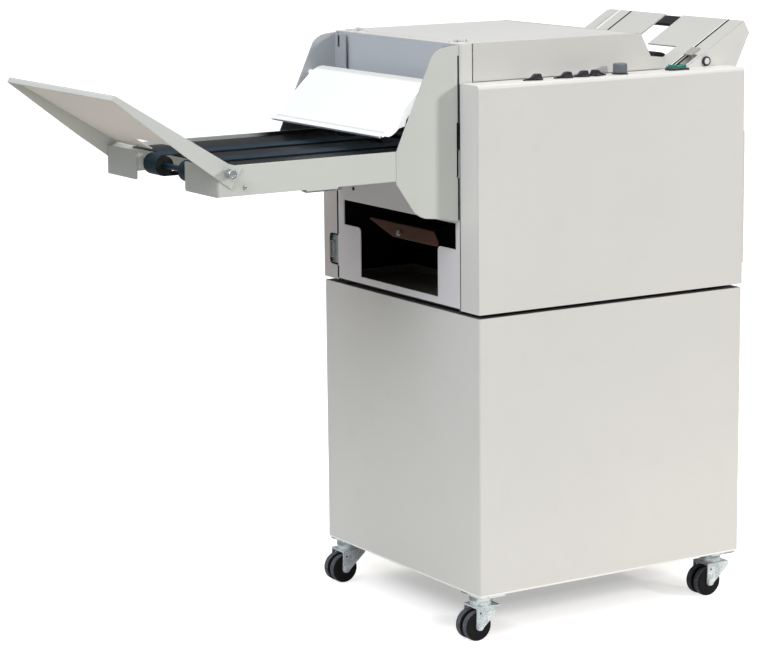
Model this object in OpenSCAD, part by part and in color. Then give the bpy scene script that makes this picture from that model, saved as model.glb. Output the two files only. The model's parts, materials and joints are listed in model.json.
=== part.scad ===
// Booklet maker on a wheeled cabinet.
// Millimetres, +Z up. The origin is on the floor under the middle of the cabinet.
// Sheets go in at the +X end; folded booklets come out over the tray at the -X end.
// The front cover with the controls faces -Y.

/* [Cabinet] */
// Width of the cabinet and covers along the paper path
cabinet_w = 570; // [540:1:620]
// Depth from the front cover to the rear cover
cabinet_d = 512; // [490:1:560]
// Height of the cabinet shell
cabinet_h = 490; // [420:1:560]
// Sheet metal thickness of the shell, covers and plates
sheet = 2; // [1.6:0.1:2.4]
// Bend radius of the upright cabinet edges
edge_r = 4; // [3:0.5:8]

/* [Casters] */
// Floor to the underside of the cabinet
caster_h = 86; // [84:1:98]
// Wheel radius
wheel_r = 27; // [24:0.5:28]
// Width of one wheel of a pair
wheel_w = 16; // [13:0.5:18]
// Gap between the two wheels of a pair
wheel_gap = 5; // [4:0.5:8]
// Radius of the wheel axle
axle_r = 4; // [3:0.25:5]
// Distance of the axle behind the swivel
caster_trail = 15.5; // [12:0.5:18]
// Swivel distance from the cabinet's end faces
caster_inset_x = 30; // [29:1:60]
// Swivel distance of the front casters from the front face
caster_inset_front = 44; // [38:1:70]
// Swivel distance of the rear casters from the rear face
caster_inset_rear = 18; // [16:1:60]

/* [Machine body] */
// Height of the rubber feet between cabinet and machine
foot_h = 7; // [5:0.5:12]
// Height of the front and rear covers
cover_h = 390; // [380:1:410]
// Depth of the front cover
front_depth = 57; // [50:1:62]
// Depth of the rear cover
rear_depth = 49; // [42:1:56]
// Rounding of the covers' top edge
cover_r = 7; // [4:0.5:12]
// Height of the lid above the covers' ledge
lid_h = 66; // [60:1:76]
// Thickness of the side frames
frame_t = 4; // [3:0.25:5]
// Thickness of the base plate
base_t = 3; // [2:0.25:5]

/* [Delivery] */
// Reach of the hood plates beyond the body
hood_reach = 126.5; // [118:0.5:136]
// Length of the tray beyond the hood
tray_len = 341.5; // [300:0.5:380]
// Height of the tray rails
rail_h = 50; // [46:0.5:56]
// Radius of the tray rollers
roller_r = 16; // [14:0.5:18]
// Thickness of the tray belts
belt_t = 2; // [1.5:0.1:3]
// Width of one tray belt
belt_w = 44; // [36:1:46]
// Length of the end flap from its pivot
flap_len = 238.7; // [200:0.5:270]
// Slope of the end flap at rest
flap_angle = 31.5; // [28:0.5:36]
// Length of the white exit guard
guard_len = 128; // [112:1:131]

/* [Infeed] */
// Slope of the infeed table
table_angle = 30.5; // [28:0.5:33]
// Reach of the infeed table beyond the body
table_reach = 44.8; // [36:0.2:52]
// Thickness of the table plates
table_t = 2.5; // [2:0.1:3]
// Radius of the feed wheels
feed_r = 22; // [18:0.25:24]

/* [Controls] */
// Radius of the pointer knobs' skirt
knob_r = 10.5; // [9:0.25:11]
// Length of a knob's pointer from its axis
pointer_len = 23; // [18:0.5:23.5]
// Radius of the plain grey knob
cap_r = 12.5; // [10:0.25:15]
// Length of the rocker switch
rocker_len = 33; // [28:0.5:38]

/* [Clearances] */
// Gap between seated flat parts
fit_gap = 0.3; // [0.2:0.05:0.4]
// Radial running clearance of shafts and pins
run_gap = 0.05; // [0.03:0.01:0.09]
// Seam between covers and the middle of the body
seam = 2; // [1.5:0.1:2.5]

/* [Hidden] */
$fn = 48;

xl = -cabinet_w / 2;
xr = cabinet_w / 2;
yf = -cabinet_d / 2;
yb = cabinet_d / 2;
cab_top = caster_h + cabinet_h;
body_z = cab_top + foot_h;
base_top = body_z + base_t;
ledge_z = body_z + cover_h;
lid_z = ledge_z + lid_h;
deck_z = ledge_z - 4;
deck_x = xl + 80;
deck_fold = 18;
core = cabinet_d / 2 - front_depth - seam;
core_rear = cabinet_d / 2 - rear_depth - seam;
frame_out = core - 6;
frame_in = frame_out - frame_t;

swivel_x = cabinet_w / 2 - caster_inset_x;
swivel_ys = [yf + caster_inset_front, yb - caster_inset_rear];
plate_ys = [yf + 35, yb - 35];
leg_in = wheel_gap / 2 + wheel_w + 0.8;
leg_t = 2.5;
crown_z = wheel_r * 2 + 5;
crown_t = 3;
race_z = crown_z + crown_t + 8;
plate_t = 4;

bin_half = frame_in - fit_gap - sheet;
bin_narrow = bin_half - 56.7;
bin_sill = base_top + 12;
bin_step = base_top + 101.5;
bin_rise = 147;
bin_top = base_top + bin_rise;
shoulder_r = 8;
bin_depth = 150;
exit_half = core - 39;
chute_x = xl + 10;
chute_z = bin_step - 5;
chute_front = -bin_narrow + 15;
chute_rear = bin_narrow - 1;
lip_len = 25;
lip_angle = 59;
knob_up = 7.5;

nose_x = xl - hood_reach;
tray_x = nose_x - tray_len;
tray_drop = 157;
tray_z = ledge_z - tray_drop;
bracket_x = 168;
bracket_len = 60;
rail_top = tray_z + rail_h;
rail_out = core - 0.5;
rail_in = core - sheet - fit_gap - 2.2;
tongue_out = core - sheet - fit_gap;
shaft_r = 5;
roller_z = tray_z + rail_h / 2 + 3;
end_roller_x = tray_x + 25;
drive_x = xl - 27;
belt_ys = [-50 - belt_w, 31];
flange_in = 88;
bed_top = roller_z + roller_r - 0.5;
hinge_x = tray_x + 18;
hinge_z = tray_z + rail_h - 11;
flap_in = rail_out + fit_gap + 0.1;
flap_out = flap_in + sheet;
screw_r = 3;

slot_len = 22;
slot_drop = 18;
notch_rise = 91;
guard_x = xl - 60.2;
guard_z = lid_z - 70.8;
guard_top = 14;
guard_half = core - 13;
guard_angle = 46;
rod_r = 4;

exit_x = xl + 22;
exit_r = 15;
exit_low_z = tray_z + 31;
exit_high_z = exit_low_z + exit_r * 2 + 1;

strip_x = xl + 26.7;
lid_x = strip_x + 2.3;
pin_x = (strip_x + lid_x) / 2;
pin_r = 1.5;
knuckle_r = 3;
pin_z = lid_z + knuckle_r + fit_gap;
hinge_y = core - 35;
lid_back = core_rear + 14;
lid_end_x = xr - 187;
lid_low_x = xr - 164;
lid_low_z = ledge_z + 24.5;
apron_x = xr - 129;
skirt_z = ledge_z + 2 * fit_gap;

table_x = xr + table_reach;
table_z = ledge_z + 77;
table_end = 24.7;
side_in = core - 39;
rear_side_in = 136;
gap_front = -21;
gap_rear = 30;
cut_len = 94;
cut_y = 105;
feed_x = table_x - 117.8;
feed_drop = (table_t + shaft_r + fit_gap + 0.1) / cos(table_angle);
feed_z = table_z - (table_x - feed_x) * tan(table_angle) - feed_drop;
tab_x = 117;
tab_slot = 33;
fence_w = 27;
fence_end = 22;
lock_x = xr - 42;
lock_z = ledge_z + 9.2;
strip_len = (table_z - deck_z) / sin(table_angle) - table_t / tan(table_angle) - 0.4;

knob_y = yf + front_depth / 2 + 1.5;
knob_xs = [-144.5, -80.8, -45.6, -21.7];
cap_x = 31.6;
rocker_x = xr - 128;
knob_shaft_r = 3;

// A rounded rectangle centred on the origin
module rounded(w, d, r) {
    square([w - 2 * r, d], center = true);
    square([w, d - 2 * r], center = true);
    for (sx = [-1, 1], sy = [-1, 1])
        translate([sx * (w / 2 - r), sy * (d / 2 - r)])
            circle(r);
}

// A box from its lower and upper corners
module box(a, b) {
    translate(a)
        cube(b - a);
}

// An outline in X and Z carried along Y from y0 to y1
module along_y(y0, y1) {
    translate([0, y1, 0])
        rotate([90, 0, 0])
            linear_extrude(y1 - y0)
                children();
}

// An outline in Y and Z carried along X from x0 to x1
module along_x(x0, x1) {
    translate([x0, 0, 0])
        rotate([90, 0, 90])
            linear_extrude(x1 - x0)
                children();
}

// A round bar along Y
module rod_y(r, y0, y1, x, z) {
    translate([x, y1, z])
        rotate([90, 0, 0])
            cylinder(r = r, h = y1 - y0);
}

// Cabinet

module cabinet_body() {
    color([0.84, 0.83, 0.80])
        translate([0, 0, caster_h])
            linear_extrude(cabinet_h)
                difference() {
                    rounded(cabinet_w, cabinet_d, edge_r);
                    rounded(cabinet_w - 2 * sheet, cabinet_d - 2 * sheet, edge_r - sheet);
                }
}

// The floor and top panels inside the shell
module cabinet_panels() {
    inset = 2 * (sheet + fit_gap);
    color([0.80, 0.79, 0.76])
        for (z = [caster_h, cab_top - 3])
            translate([0, 0, z])
                linear_extrude(3)
                    rounded(cabinet_w - inset, cabinet_d - inset, 2);
}

// Casters

module caster_mounts() {
    color([0.62, 0.64, 0.66])
        for (sx = [-1, 1], k = [0, 1])
            translate([sx * swivel_x, swivel_ys[k], 0]) {
                translate([0, plate_ys[k] - swivel_ys[k], caster_h - plate_t])
                    linear_extrude(plate_t)
                        rounded(56, 66, 5);
                translate([0, 0, race_z + fit_gap])
                    cylinder(r = 20, h = caster_h - plate_t - race_z - fit_gap);
                translate([0, 0, crown_z - 0.5])
                    cylinder(r = 5, h = caster_h - crown_z);
            }
}

module leg_outline() {
    difference() {
        union() {
            polygon([[-caster_trail - 7, wheel_r], [-caster_trail - 6, crown_z + crown_t],
                [26, crown_z + crown_t], [26, crown_z - 5], [-caster_trail + 5, wheel_r - 5]]);
            translate([-caster_trail, wheel_r])
                circle(7);
        }
        translate([-caster_trail, wheel_r])
            circle(axle_r + run_gap);
        translate([-caster_trail + 1.5, crown_z - 8])
            circle(2);
    }
}

module fork() {
    difference() {
        union() {
            for (sy = [-1, 1])
                scale([1, sy, 1])
                    along_y(leg_in, leg_in + leg_t)
                        leg_outline();
            box([-caster_trail - 6, -leg_in - leg_t, crown_z], [26, leg_in + leg_t, crown_z + crown_t]);
            translate([0, 0, crown_z])
                cylinder(r = 19, h = race_z - crown_z);
        }
        translate([0, 0, crown_z - 1])
            cylinder(r = 5 + run_gap, h = 40);
    }
    translate([-caster_trail, 0, 0]) {
        rod_y(axle_r, -leg_in - leg_t, leg_in + leg_t, 0, wheel_r);
        rod_y(6, -leg_in - leg_t - 3, -leg_in - leg_t, 0, wheel_r);
        rod_y(6, leg_in + leg_t, leg_in + leg_t + 3, 0, wheel_r);
    }
}

module wheel_pair() {
    bore = axle_r + run_gap;
    rotate([90, 0, 0])
        rotate_extrude() {
            for (s = [-1, 1])
                translate([(bore + wheel_r) / 2, s * (wheel_gap + wheel_w) / 2])
                    difference() {
                        rounded(wheel_r - bore, wheel_w, 2);
                        translate([(wheel_r - bore) / 2, 0])
                            difference() {
                                square([12, wheel_w + 2], center = true);
                                translate([-6, 0])
                                    rounded(12, wheel_w, 5.5);
                            }
                    }
            translate([bore, -leg_in + 0.5])
                square([4, 2 * leg_in - 1]);
        }
}

module place_caster(sx, k) {
    translate([sx * swivel_x, swivel_ys[k], 0])
        children();
}

module place_wheels(sx, k) {
    translate([sx * swivel_x - caster_trail, swivel_ys[k], wheel_r])
        children();
}

module fork_fl() { color([0.78, 0.80, 0.80]) place_caster(-1, 0) fork(); }
module fork_fr() { color([0.78, 0.80, 0.80]) place_caster(1, 0) fork(); }
module fork_rl() { color([0.78, 0.80, 0.80]) place_caster(-1, 1) fork(); }
module fork_rr() { color([0.78, 0.80, 0.80]) place_caster(1, 1) fork(); }
module wheels_fl() { color([0.10, 0.10, 0.11]) place_wheels(-1, 0) wheel_pair(); }
module wheels_fr() { color([0.10, 0.10, 0.11]) place_wheels(1, 0) wheel_pair(); }
module wheels_rl() { color([0.10, 0.10, 0.11]) place_wheels(-1, 1) wheel_pair(); }
module wheels_rr() { color([0.10, 0.10, 0.11]) place_wheels(1, 1) wheel_pair(); }

// Machine base and frames

module machine_feet() {
    color([0.12, 0.12, 0.12])
        for (sx = [-1, 1], sy = [-1, 1])
            translate([sx * (cabinet_w / 2 - 17), sy * (core - 8), cab_top])
                cylinder(r = 12, h = foot_h);
}

module base_plate() {
    e = sheet + fit_gap;
    color([0.45, 0.46, 0.48])
        box([xl + e, yf + e, body_z], [xr - e, yb - e, base_top]);
}

module frame_outline() {
    e = sheet + fit_gap;
    difference() {
        polygon([[xl + e, base_top], [xr - e, base_top], [xr - e, deck_z], [apron_x - 6, deck_z],
            [apron_x - 6, lid_low_z - 10], [lid_low_x - 7, lid_low_z - 10],
            [lid_end_x - 6, lid_z - 15], [xl + e, lid_z - 15]]);
        translate([exit_x, exit_high_z])
            circle(shaft_r + run_gap);
        translate([exit_x, exit_low_z])
            circle(shaft_r + run_gap);
    }
}

module front_frame() {
    color([0.60, 0.61, 0.62])
        along_y(-frame_out, -frame_in)
            frame_outline();
}

module rear_frame() {
    color([0.60, 0.61, 0.62])
        along_y(frame_in, frame_out)
            frame_outline();
}

// Covers

// Side view of a cover: first value is the distance from its outer face
module cover_outline(d, h, r) {
    square([d, h - r]);
    translate([r, 0])
        square([d - r, h]);
    translate([r, h - r])
        circle(r);
}

module cover_shell(d) {
    difference() {
        along_x(xl, xr)
            cover_outline(d, cover_h, cover_r);
        translate([0, sheet, 0])
            along_x(xl + sheet, xr - sheet)
                translate([0, -1])
                    cover_outline(d, cover_h - sheet + 1, cover_r - sheet);
    }
}

module front_cover() {
    color([0.84, 0.83, 0.80])
        difference() {
            translate([0, yf, body_z])
                cover_shell(front_depth);
            for (x = knob_xs)
                translate([x, knob_y, ledge_z - 10])
                    cylinder(r = knob_shaft_r + run_gap, h = 20);
            translate([cap_x, knob_y, ledge_z - 10])
                cylinder(r = knob_shaft_r + run_gap, h = 20);
            box([rocker_x - rocker_len / 2 - 2, knob_y - 8, ledge_z - 10],
                [rocker_x + rocker_len / 2 + 2, knob_y + 8, ledge_z + 10]);
        }
}

module rear_cover() {
    color([0.82, 0.81, 0.78])
        difference() {
            translate([0, yb, body_z])
                mirror([0, 1, 0])
                    cover_shell(rear_depth);
            along_x(xl - 1, xl + sheet + 1)
                translate([yb - rear_depth, body_z + 55])
                    rounded(60, 58, 8);
        }
}

module service_plate() {
    color([0.80, 0.79, 0.76])
        along_x(xr, xr + 5)
            translate([yf + front_depth / 2, body_z + cover_h / 2 - 38])
                rounded(front_depth - 6, cover_h * 0.615, 4);
}

module data_connector() {
    y0 = yb - rear_depth;
    zc = body_z + 55;
    x0 = xl + sheet;
    color([0.42, 0.47, 0.46])
        difference() {
            union() {
                box([x0, y0 + 0.5, zc - 33], [x0 + 1.5, y0 + 38, zc + 33]);
                along_x(x0 - 6, x0)
                    translate([y0 + 16, zc])
                        rounded(10, 32, 4);
                for (s = [-1, 1])
                    along_x(x0 - 4, x0)
                        translate([y0 + 16, zc + s * 22])
                            circle(3);
            }
            along_x(x0 - 7, x0 - 3)
                translate([y0 + 16, zc])
                    rounded(7, 29, 3);
        }
}

// End panels

// What is cut away to round one shoulder of the T-shaped opening
module shoulder() {
    difference() {
        box([xl - 1, bin_narrow - 1, bin_step - shoulder_r],
            [xl + sheet + 1, bin_narrow + shoulder_r, bin_step + 1]);
        along_x(xl - 2, xl + sheet + 2)
            translate([bin_narrow + shoulder_r, bin_step - shoulder_r])
                circle(shoulder_r);
    }
}

module end_panel() {
    color([0.78, 0.77, 0.75])
        difference() {
            union() {
                box([xl, -core - seam + 0.5, base_top], [xl + sheet, core_rear + seam - 0.5, lid_z - sheet]);
                box([xl, -bin_half, base_top], [xl + 14, bin_half, base_top + sheet]);
            }
            box([xl - 1, -bin_half, bin_step], [xl + sheet + 1, bin_half, bin_top]);
            box([xl - 1, -bin_narrow, bin_sill], [xl + sheet + 1, bin_narrow, bin_step + 1]);
            for (s = [-1, 1])
                scale([1, s, 1])
                    shoulder();
            box([xl - 1, -exit_half, tray_z + 14], [xl + sheet + 1, exit_half, lid_z - 80]);
            box([xl - 1, -core - 1, tray_z + 44], [xl + sheet + 1, -core + 5, tray_z + 91]);
            box([xl + sheet, -bin_half - 1, base_top + sheet], [xl + 40, bin_half + 1, base_top + 30]);
        }
}

module right_panel() {
    color([0.78, 0.77, 0.75])
        difference() {
            union() {
                box([xr - sheet, -core - seam + 0.5, base_top], [xr, core_rear + seam - 0.5, deck_z - sheet]);
                box([xr - 20, -bin_half, base_top], [xr, bin_half, base_top + sheet]);
            }
            along_x(xr - sheet - 1, xr + 1)
                translate([core - 60, base_top + 60])
                    square([48, 27], center = true);
        }
}

module power_inlet() {
    color([0.08, 0.08, 0.09])
        translate([0, core - 60, base_top + 60])
            difference() {
                union() {
                    along_x(xr, xr + 2.5)
                        rounded(58, 36, 5);
                    along_x(xr - 22, xr)
                        square([48 - 2 * fit_gap, 27 - 2 * fit_gap], center = true);
                }
                along_x(xr - 18, xr + 4)
                    polygon([[-13, -9], [13, -9], [13, 4], [8, 9], [-8, 9], [-13, 4]]);
            }
}

// Hood over the delivery end

module hood_bridge() {
    color([0.80, 0.80, 0.78])
        difference() {
            union() {
                box([xl, -core, lid_z - sheet], [strip_x, core_rear, lid_z]);
                box([xl + sheet + fit_gap, -core, ledge_z - 9], [strip_x, -core + sheet, lid_z - 1]);
                box([xl + sheet + fit_gap, core_rear - sheet, ledge_z - 9], [strip_x, core_rear, lid_z - 1]);
                box([strip_x - sheet, -core, lid_z - 14], [strip_x, core_rear, lid_z - 1]);
                for (sy = [-1, 1], k = [-1, 1])
                    translate([0, sy * hinge_y + k * 12, 0])
                        bridge_knuckle();
            }
            for (sy = [-1, 1])
                rod_y(pin_r + run_gap, sy * hinge_y - 20, sy * hinge_y + 20, pin_x, pin_z);
        }
}

module bridge_knuckle() {
    rod_y(knuckle_r, -3.8, 3.8, pin_x, pin_z);
    box([strip_x - 16, -3.8, lid_z], [pin_x, 3.8, lid_z + 1.5]);
    box([strip_x - 4, -3.8, lid_z], [pin_x - 1, 3.8, pin_z]);
}

module lid_pins() {
    color([0.70, 0.71, 0.72])
        for (sy = [-1, 1])
            rod_y(pin_r, sy * hinge_y - 16, sy * hinge_y + 16, pin_x, pin_z);
}

module lid() {
    run = (lid_low_x - lid_end_x) / (lid_z - lid_low_z);
    wall = sheet * sqrt(1 + run * run);
    color([0.86, 0.85, 0.83])
        difference() {
            union() {
                difference() {
                    along_y(-core, lid_back)
                        polygon([[lid_x, skirt_z], [lid_x, lid_z], [lid_end_x, lid_z], [lid_low_x, lid_low_z],
                            [apron_x - 6, lid_low_z - 3.5], [apron_x, skirt_z]]);
                    along_y(-core + sheet, lid_back - sheet)
                        polygon([[lid_x - 1, ledge_z], [lid_x - 1, lid_z - sheet],
                            [lid_end_x + run * sheet - wall, lid_z - sheet],
                            [lid_low_x - wall, lid_low_z], [apron_x + 9, lid_low_z], [apron_x + 9, ledge_z]]);
                }
                for (sy = [-1, 1])
                    translate([0, sy * hinge_y, 0]) {
                        rod_y(knuckle_r, -7.8, 7.8, pin_x, pin_z);
                        box([pin_x, -7.8, lid_z + fit_gap], [lid_x + 15, 7.8, lid_z + 1.5]);
                        box([lid_x, -7.8, lid_z - 1], [lid_x + 15, 7.8, lid_z + 1.5]);
                    }
            }
            for (sy = [-1, 1])
                rod_y(pin_r + run_gap, sy * hinge_y - 20, sy * hinge_y + 20, pin_x, pin_z);
        }
}

module hood_outline() {
    zb = tray_z - 4.5;
    polygon([[xl, zb - 73], [xl, lid_z - 1], [xl - 29, lid_z - 4], [xl - 38, lid_z - 6.5], [xl - 45, lid_z - 10],
        [xl - 50.5, lid_z - 14], [xl - 54.5, lid_z - 19], [nose_x, rail_top - 2], [nose_x, zb],
        [xl - 90.5, zb - 51.5], [xl - 79, zb - 59.5], [xl - 70, zb - 63], [xl - 58, zb - 64.5],
        [xl - 40, zb - 66], [xl - 15, zb - 71]]);
}

// The front hood plate; the rear one is its mirror image
module hood_plate() {
    difference() {
        union() {
            along_y(-core, -core + sheet)
                hood_outline();
            box([xl - 8, -core, tray_z - 45], [xl - 8 + sheet, -exit_half - 1, lid_z - 4]);
            box([nose_x + 10, -core, tray_z - sheet - fit_gap], [xl - 12, -core + 12, tray_z - fit_gap]);
        }
        rod_y(rod_r + run_gap, -core + sheet * 0.3, -core + sheet + 1, guard_x, guard_z);
        along_x(xl - 9, xl - 8 + sheet + 1)
            translate([-core + 14, lid_z - slot_drop])
                rounded(7, slot_len, 3);
        box([xl - 5, -core - 1, tray_z - 3], [xl + 1, -core + sheet + 1, tray_z + notch_rise]);
    }
}

module hood_front() {
    color([0.80, 0.80, 0.78])
        hood_plate();
}

module hood_rear() {
    color([0.80, 0.80, 0.78])
        difference() {
            mirror([0, 1, 0])
                hood_plate();
            box([nose_x - 1, core - sheet - 1, tray_z - 80], [xl + 1, core + 1, tray_z - 66.5]);
        }
}

module exit_guard() {
    lip = guard_top - guard_len - 4;
    color([0.94, 0.94, 0.93])
        translate([guard_x, 0, guard_z])
            rotate([0, guard_angle, 0]) {
                translate([-5, 0, guard_top - guard_len / 2])
                    rotate([90, 0, 90])
                        linear_extrude(3)
                            guard_outline();
                box([-8, -guard_half + 4, lip], [-3, guard_half, lip + 8]);
                along_y(-guard_half, -guard_half + 3)
                    guard_cheek();
                along_y(guard_half - 3, guard_half)
                    guard_cheek();
                rod_y(rod_r, -core + sheet * 0.4, core - sheet * 0.4, 0, 0);
            }
}

// Side view of the guard's folded cheeks
module guard_cheek() {
    low = guard_top - guard_len;
    polygon([[-4, low + 1], [5.6, low + 7.5], [8.6, low + 14], [10.2, low + 22], [10.8, low + 32], [17, low + 42],
        [10.7, low + 52], [9.8, low + 69], [-1, low + 103], [-4, low + 103]]);
}

// Flat shape of the guard, with round corners at its top only
module guard_outline() {
    rounded(2 * guard_half, guard_len, 22);
    translate([-guard_half, -guard_len / 2])
        square([2 * guard_half, guard_len / 2]);
}

// Exit rollers inside the body

module exit_roller() {
    rod_y(exit_r, -frame_in + 30, frame_in - 30, 0, 0);
    rod_y(shaft_r, -frame_out, frame_out, 0, 0);
}

module exit_roller_upper() {
    color([0.12, 0.12, 0.13])
        translate([exit_x, 0, exit_high_z])
            exit_roller();
}

module exit_roller_lower() {
    color([0.12, 0.12, 0.13])
        translate([exit_x, 0, exit_low_z])
            exit_roller();
}

// Bin behind the T-shaped opening

module bin_liner() {
    x0 = xl + sheet + fit_gap;
    x1 = xl + bin_depth;
    y1 = frame_in - fit_gap;
    color([0.07, 0.07, 0.08])
        difference() {
            box([x0, -y1, base_top], [x1, y1, bin_top + 3 + sheet]);
            box([x0 - 1, -y1 + sheet, base_top + sheet], [x1 - sheet, y1 - sheet, bin_top + 3]);
            box([x0 - 1, -bin_half - 2, base_top - 1], [xl + 14 + fit_gap, bin_half + 2, base_top + sheet + 1]);
        }
}

// Places things on the chute's lip: Z square to it, zero on its rear face, at the knob
module on_lip() {
    translate([chute_x + knob_up * cos(lip_angle), 14, chute_z + knob_up * sin(lip_angle)])
        rotate([0, -lip_angle, 0])
            children();
}

module chute_plate() {
    bend = [chute_x + lip_len * cos(lip_angle), chute_z + lip_len * sin(lip_angle)];
    end = [xl + bin_depth - 16, bin_top + 3 - sheet];
    rise = atan2(end[1] - bend[1], end[0] - bend[0]);
    n1 = [-sin(lip_angle), cos(lip_angle)];
    n2 = [-sin(rise), cos(rise)];
    color([0.38, 0.25, 0.20])
        difference() {
            along_y(chute_front, chute_rear)
                polygon([[chute_x, chute_z], bend, end, end + [12, 0], end + [12, sheet], end + [-1, sheet],
                    bend + (n1 + n2) * sheet / (1 + n1 * n2), [chute_x, chute_z] + n1 * sheet]);
            along_x(chute_x - 5, xl + bin_depth)
                polygon([[chute_front + 29, bend[1]], [chute_front - 1, chute_z + 5],
                    [chute_front - 1, bin_top + 20], [chute_front + 29, bin_top + 20]]);
            along_x(chute_x - 5, xl + bin_depth)
                polygon([[28, chute_z - 2], [28, chute_z], [chute_rear + 1, bend[1] - 1],
                    [chute_rear + 1, chute_z - 2]]);
            on_lip()
                translate([0, 0, -5])
                    cylinder(r = screw_r + run_gap, h = 12);
        }
}

module chute_knob() {
    color([0.75, 0.76, 0.77])
        on_lip() {
            translate([0, 0, sheet + fit_gap])
                cylinder(r = 5, h = 5);
            translate([0, 0, -8])
                cylinder(r = screw_r, h = 8 + sheet + 1);
        }
}

// Delivery tray

// One end flange of the tray, with its lower inner corner rounded
module end_flange() {
    square_end = rail_out - flange_in;
    translate([flange_in + square_end / 2, tray_z + (rail_h - 1) / 2])
        rounded(square_end, rail_h - 1, 4);
    translate([rail_out - 8, tray_z])
        square([8, rail_h - 1]);
}

module tray_pan() {
    color([0.82, 0.82, 0.79])
        difference() {
            union() {
                for (s = [-1, 1])
                    scale([1, s, 1]) {
                        box([tray_x, rail_in, tray_z], [nose_x - fit_gap, rail_out, rail_top]);
                        box([nose_x - 1, rail_in, tray_z], [xl - 11, tongue_out, rail_top]);
                        along_x(tray_x, tray_x + sheet)
                            end_flange();
                        box([tray_x + bracket_x, rail_in, tray_z - 3],
                            [tray_x + bracket_x + bracket_len, rail_in + 4, tray_z + 1]);
                        box([end_roller_x + 28, rail_in - 8, bed_top - 2 * sheet],
                            [drive_x - 28, rail_in + 1, bed_top - sheet]);
                    }
                box([tray_x, flange_in, tray_z + 17], [tray_x + 14, flange_in + sheet, rail_top - 6]);
            }
            for (s = [-1, 1])
                scale([1, s, 1]) {
                    rod_y(shaft_r + run_gap, rail_in - 1, rail_in + 1.8, end_roller_x, roller_z);
                    rod_y(shaft_r + run_gap, rail_in - 1, rail_in + 1.8, drive_x, roller_z);
                    rod_y(screw_r + run_gap, rail_in - 1, rail_out + 1, hinge_x, hinge_z);
                }
        }
}

module tray_bed() {
    color([0.06, 0.06, 0.07])
        box([end_roller_x + roller_r + 6, -rail_in + fit_gap, bed_top - sheet],
            [drive_x - roller_r - 6, rail_in - fit_gap, bed_top]);
}

module tray_roller() {
    rod_y(shaft_r, -rail_in - 1.5, rail_in + 1.5, 0, 0);
    for (y = belt_ys)
        rod_y(roller_r, y - 1, y + belt_w + 1, 0, 0);
}

module end_roller() {
    color([0.10, 0.11, 0.12])
        translate([end_roller_x, 0, roller_z])
            tray_roller();
}

module drive_roller() {
    color([0.10, 0.11, 0.12])
        translate([drive_x, 0, roller_z])
            tray_roller();
}

// Side view of a belt loop around both tray rollers
module belt_outline(r) {
    translate([end_roller_x, roller_z])
        circle(r);
    translate([drive_x, roller_z])
        circle(r);
    translate([end_roller_x, roller_z - r])
        square([drive_x - end_roller_x, 2 * r]);
}

module tray_belts() {
    color([0.08, 0.22, 0.25])
        for (y = belt_ys)
            along_y(y, y + belt_w)
                difference() {
                    belt_outline(roller_r + fit_gap + belt_t);
                    belt_outline(roller_r + fit_gap);
                }
}

// End flap on its two thumbscrews

module flap_side() {
    difference() {
        polygon([[-flap_len, 5.3], [-flap_len, 14.5], [-5, 14.5], [21, 22], [21, -19], [-11, -16.5],
            [-flap_len * 0.34, -11.5]]);
        circle(screw_r + run_gap);
    }
}

module end_flap() {
    notch = flange_in + 12;
    color([0.82, 0.82, 0.79])
        translate([hinge_x, 0, hinge_z])
            rotate([0, flap_angle, 0]) {
                for (s = [-1, 1])
                    scale([1, s, 1])
                        along_y(flap_in, flap_out)
                            flap_side();
                difference() {
                    box([-flap_len, -flap_out, 14.5 - sheet], [-6, flap_out, 14.5]);
                    box([-46, -notch, 0], [0, notch - 34, 30]);
                }
                box([-flap_len, -flap_out, 5.3], [-flap_len + sheet, flap_out, 14.5]);
            }
}

module thumbscrew() {
    rod_y(screw_r, -flap_out - 1, -rail_in, 0, 0);
    rod_y(5, -flap_out - 5, -flap_out, 0, 0);
    rod_y(8, -flap_out - 21, -flap_out - 5, 0, 0);
}

module thumbscrew_front() {
    color([0.80, 0.81, 0.80])
        translate([hinge_x, 0, hinge_z])
            thumbscrew();
}

module thumbscrew_rear() {
    color([0.80, 0.81, 0.80])
        mirror([0, 1, 0])
            translate([hinge_x, 0, hinge_z])
                thumbscrew();
}

// Infeed table

// Places things in the table's own frame: X up the slope from the top edge, Z square to it
module on_table() {
    translate([table_x, 0, table_z])
        rotate([0, -table_angle, 0])
            children();
}

// Side view of an infeed side box, shrunk inward by w
module side_outline(w) {
    c = cos(table_angle);
    s = sin(table_angle);
    run = (table_z - deck_z) / tan(table_angle);
    ex = table_x + (table_end - 1.5 * w) * s - w * c;
    ez = table_z - (table_end - 1.5 * w) * c - w * s;
    polygon([[table_x - run + w * (s + c / tan(table_angle)), deck_z - w * 0.01],
        [table_x - w * c + w * s, table_z - w * s - w * c], [ex, ez], [xr + 28 - 1.2 * w, deck_z - w * 0.01]]);
}

module side_box(y0, y1) {
    difference() {
        along_y(y0, y1)
            side_outline(0);
        along_y(y0 + sheet, y1 - sheet)
            side_outline(sheet);
    }
}

module infeed_front() {
    color([0.84, 0.83, 0.80]) {
        difference() {
            side_box(-core - 1, -side_in);
            rod_y(shaft_r + run_gap, -side_in - sheet - 1, -side_in + 1, feed_x, feed_z);
            rod_y(screw_r + run_gap, -core - 2, -core + sheet + 1, lock_x, lock_z);
            on_table()
                box([-tab_x - tab_slot, -core + 9, -6], [-tab_x + 5, -side_in - sheet - 1, 5]);
        }
        box([feed_x - 14, -core, deck_z], [feed_x + 24, -side_in - sheet - fit_gap, deck_z + sheet]);
    }
}

module infeed_rear() {
    color([0.84, 0.83, 0.80])
        difference() {
            union() {
                side_box(rear_side_in, core_rear);
                on_table()
                    box([-strip_len + fence_end, core_rear - fence_w, -1], [-6, core_rear, 2]);
            }
            rod_y(shaft_r + run_gap, rear_side_in - 1, rear_side_in + sheet + 1, feed_x, feed_z);
        }
}

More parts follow.
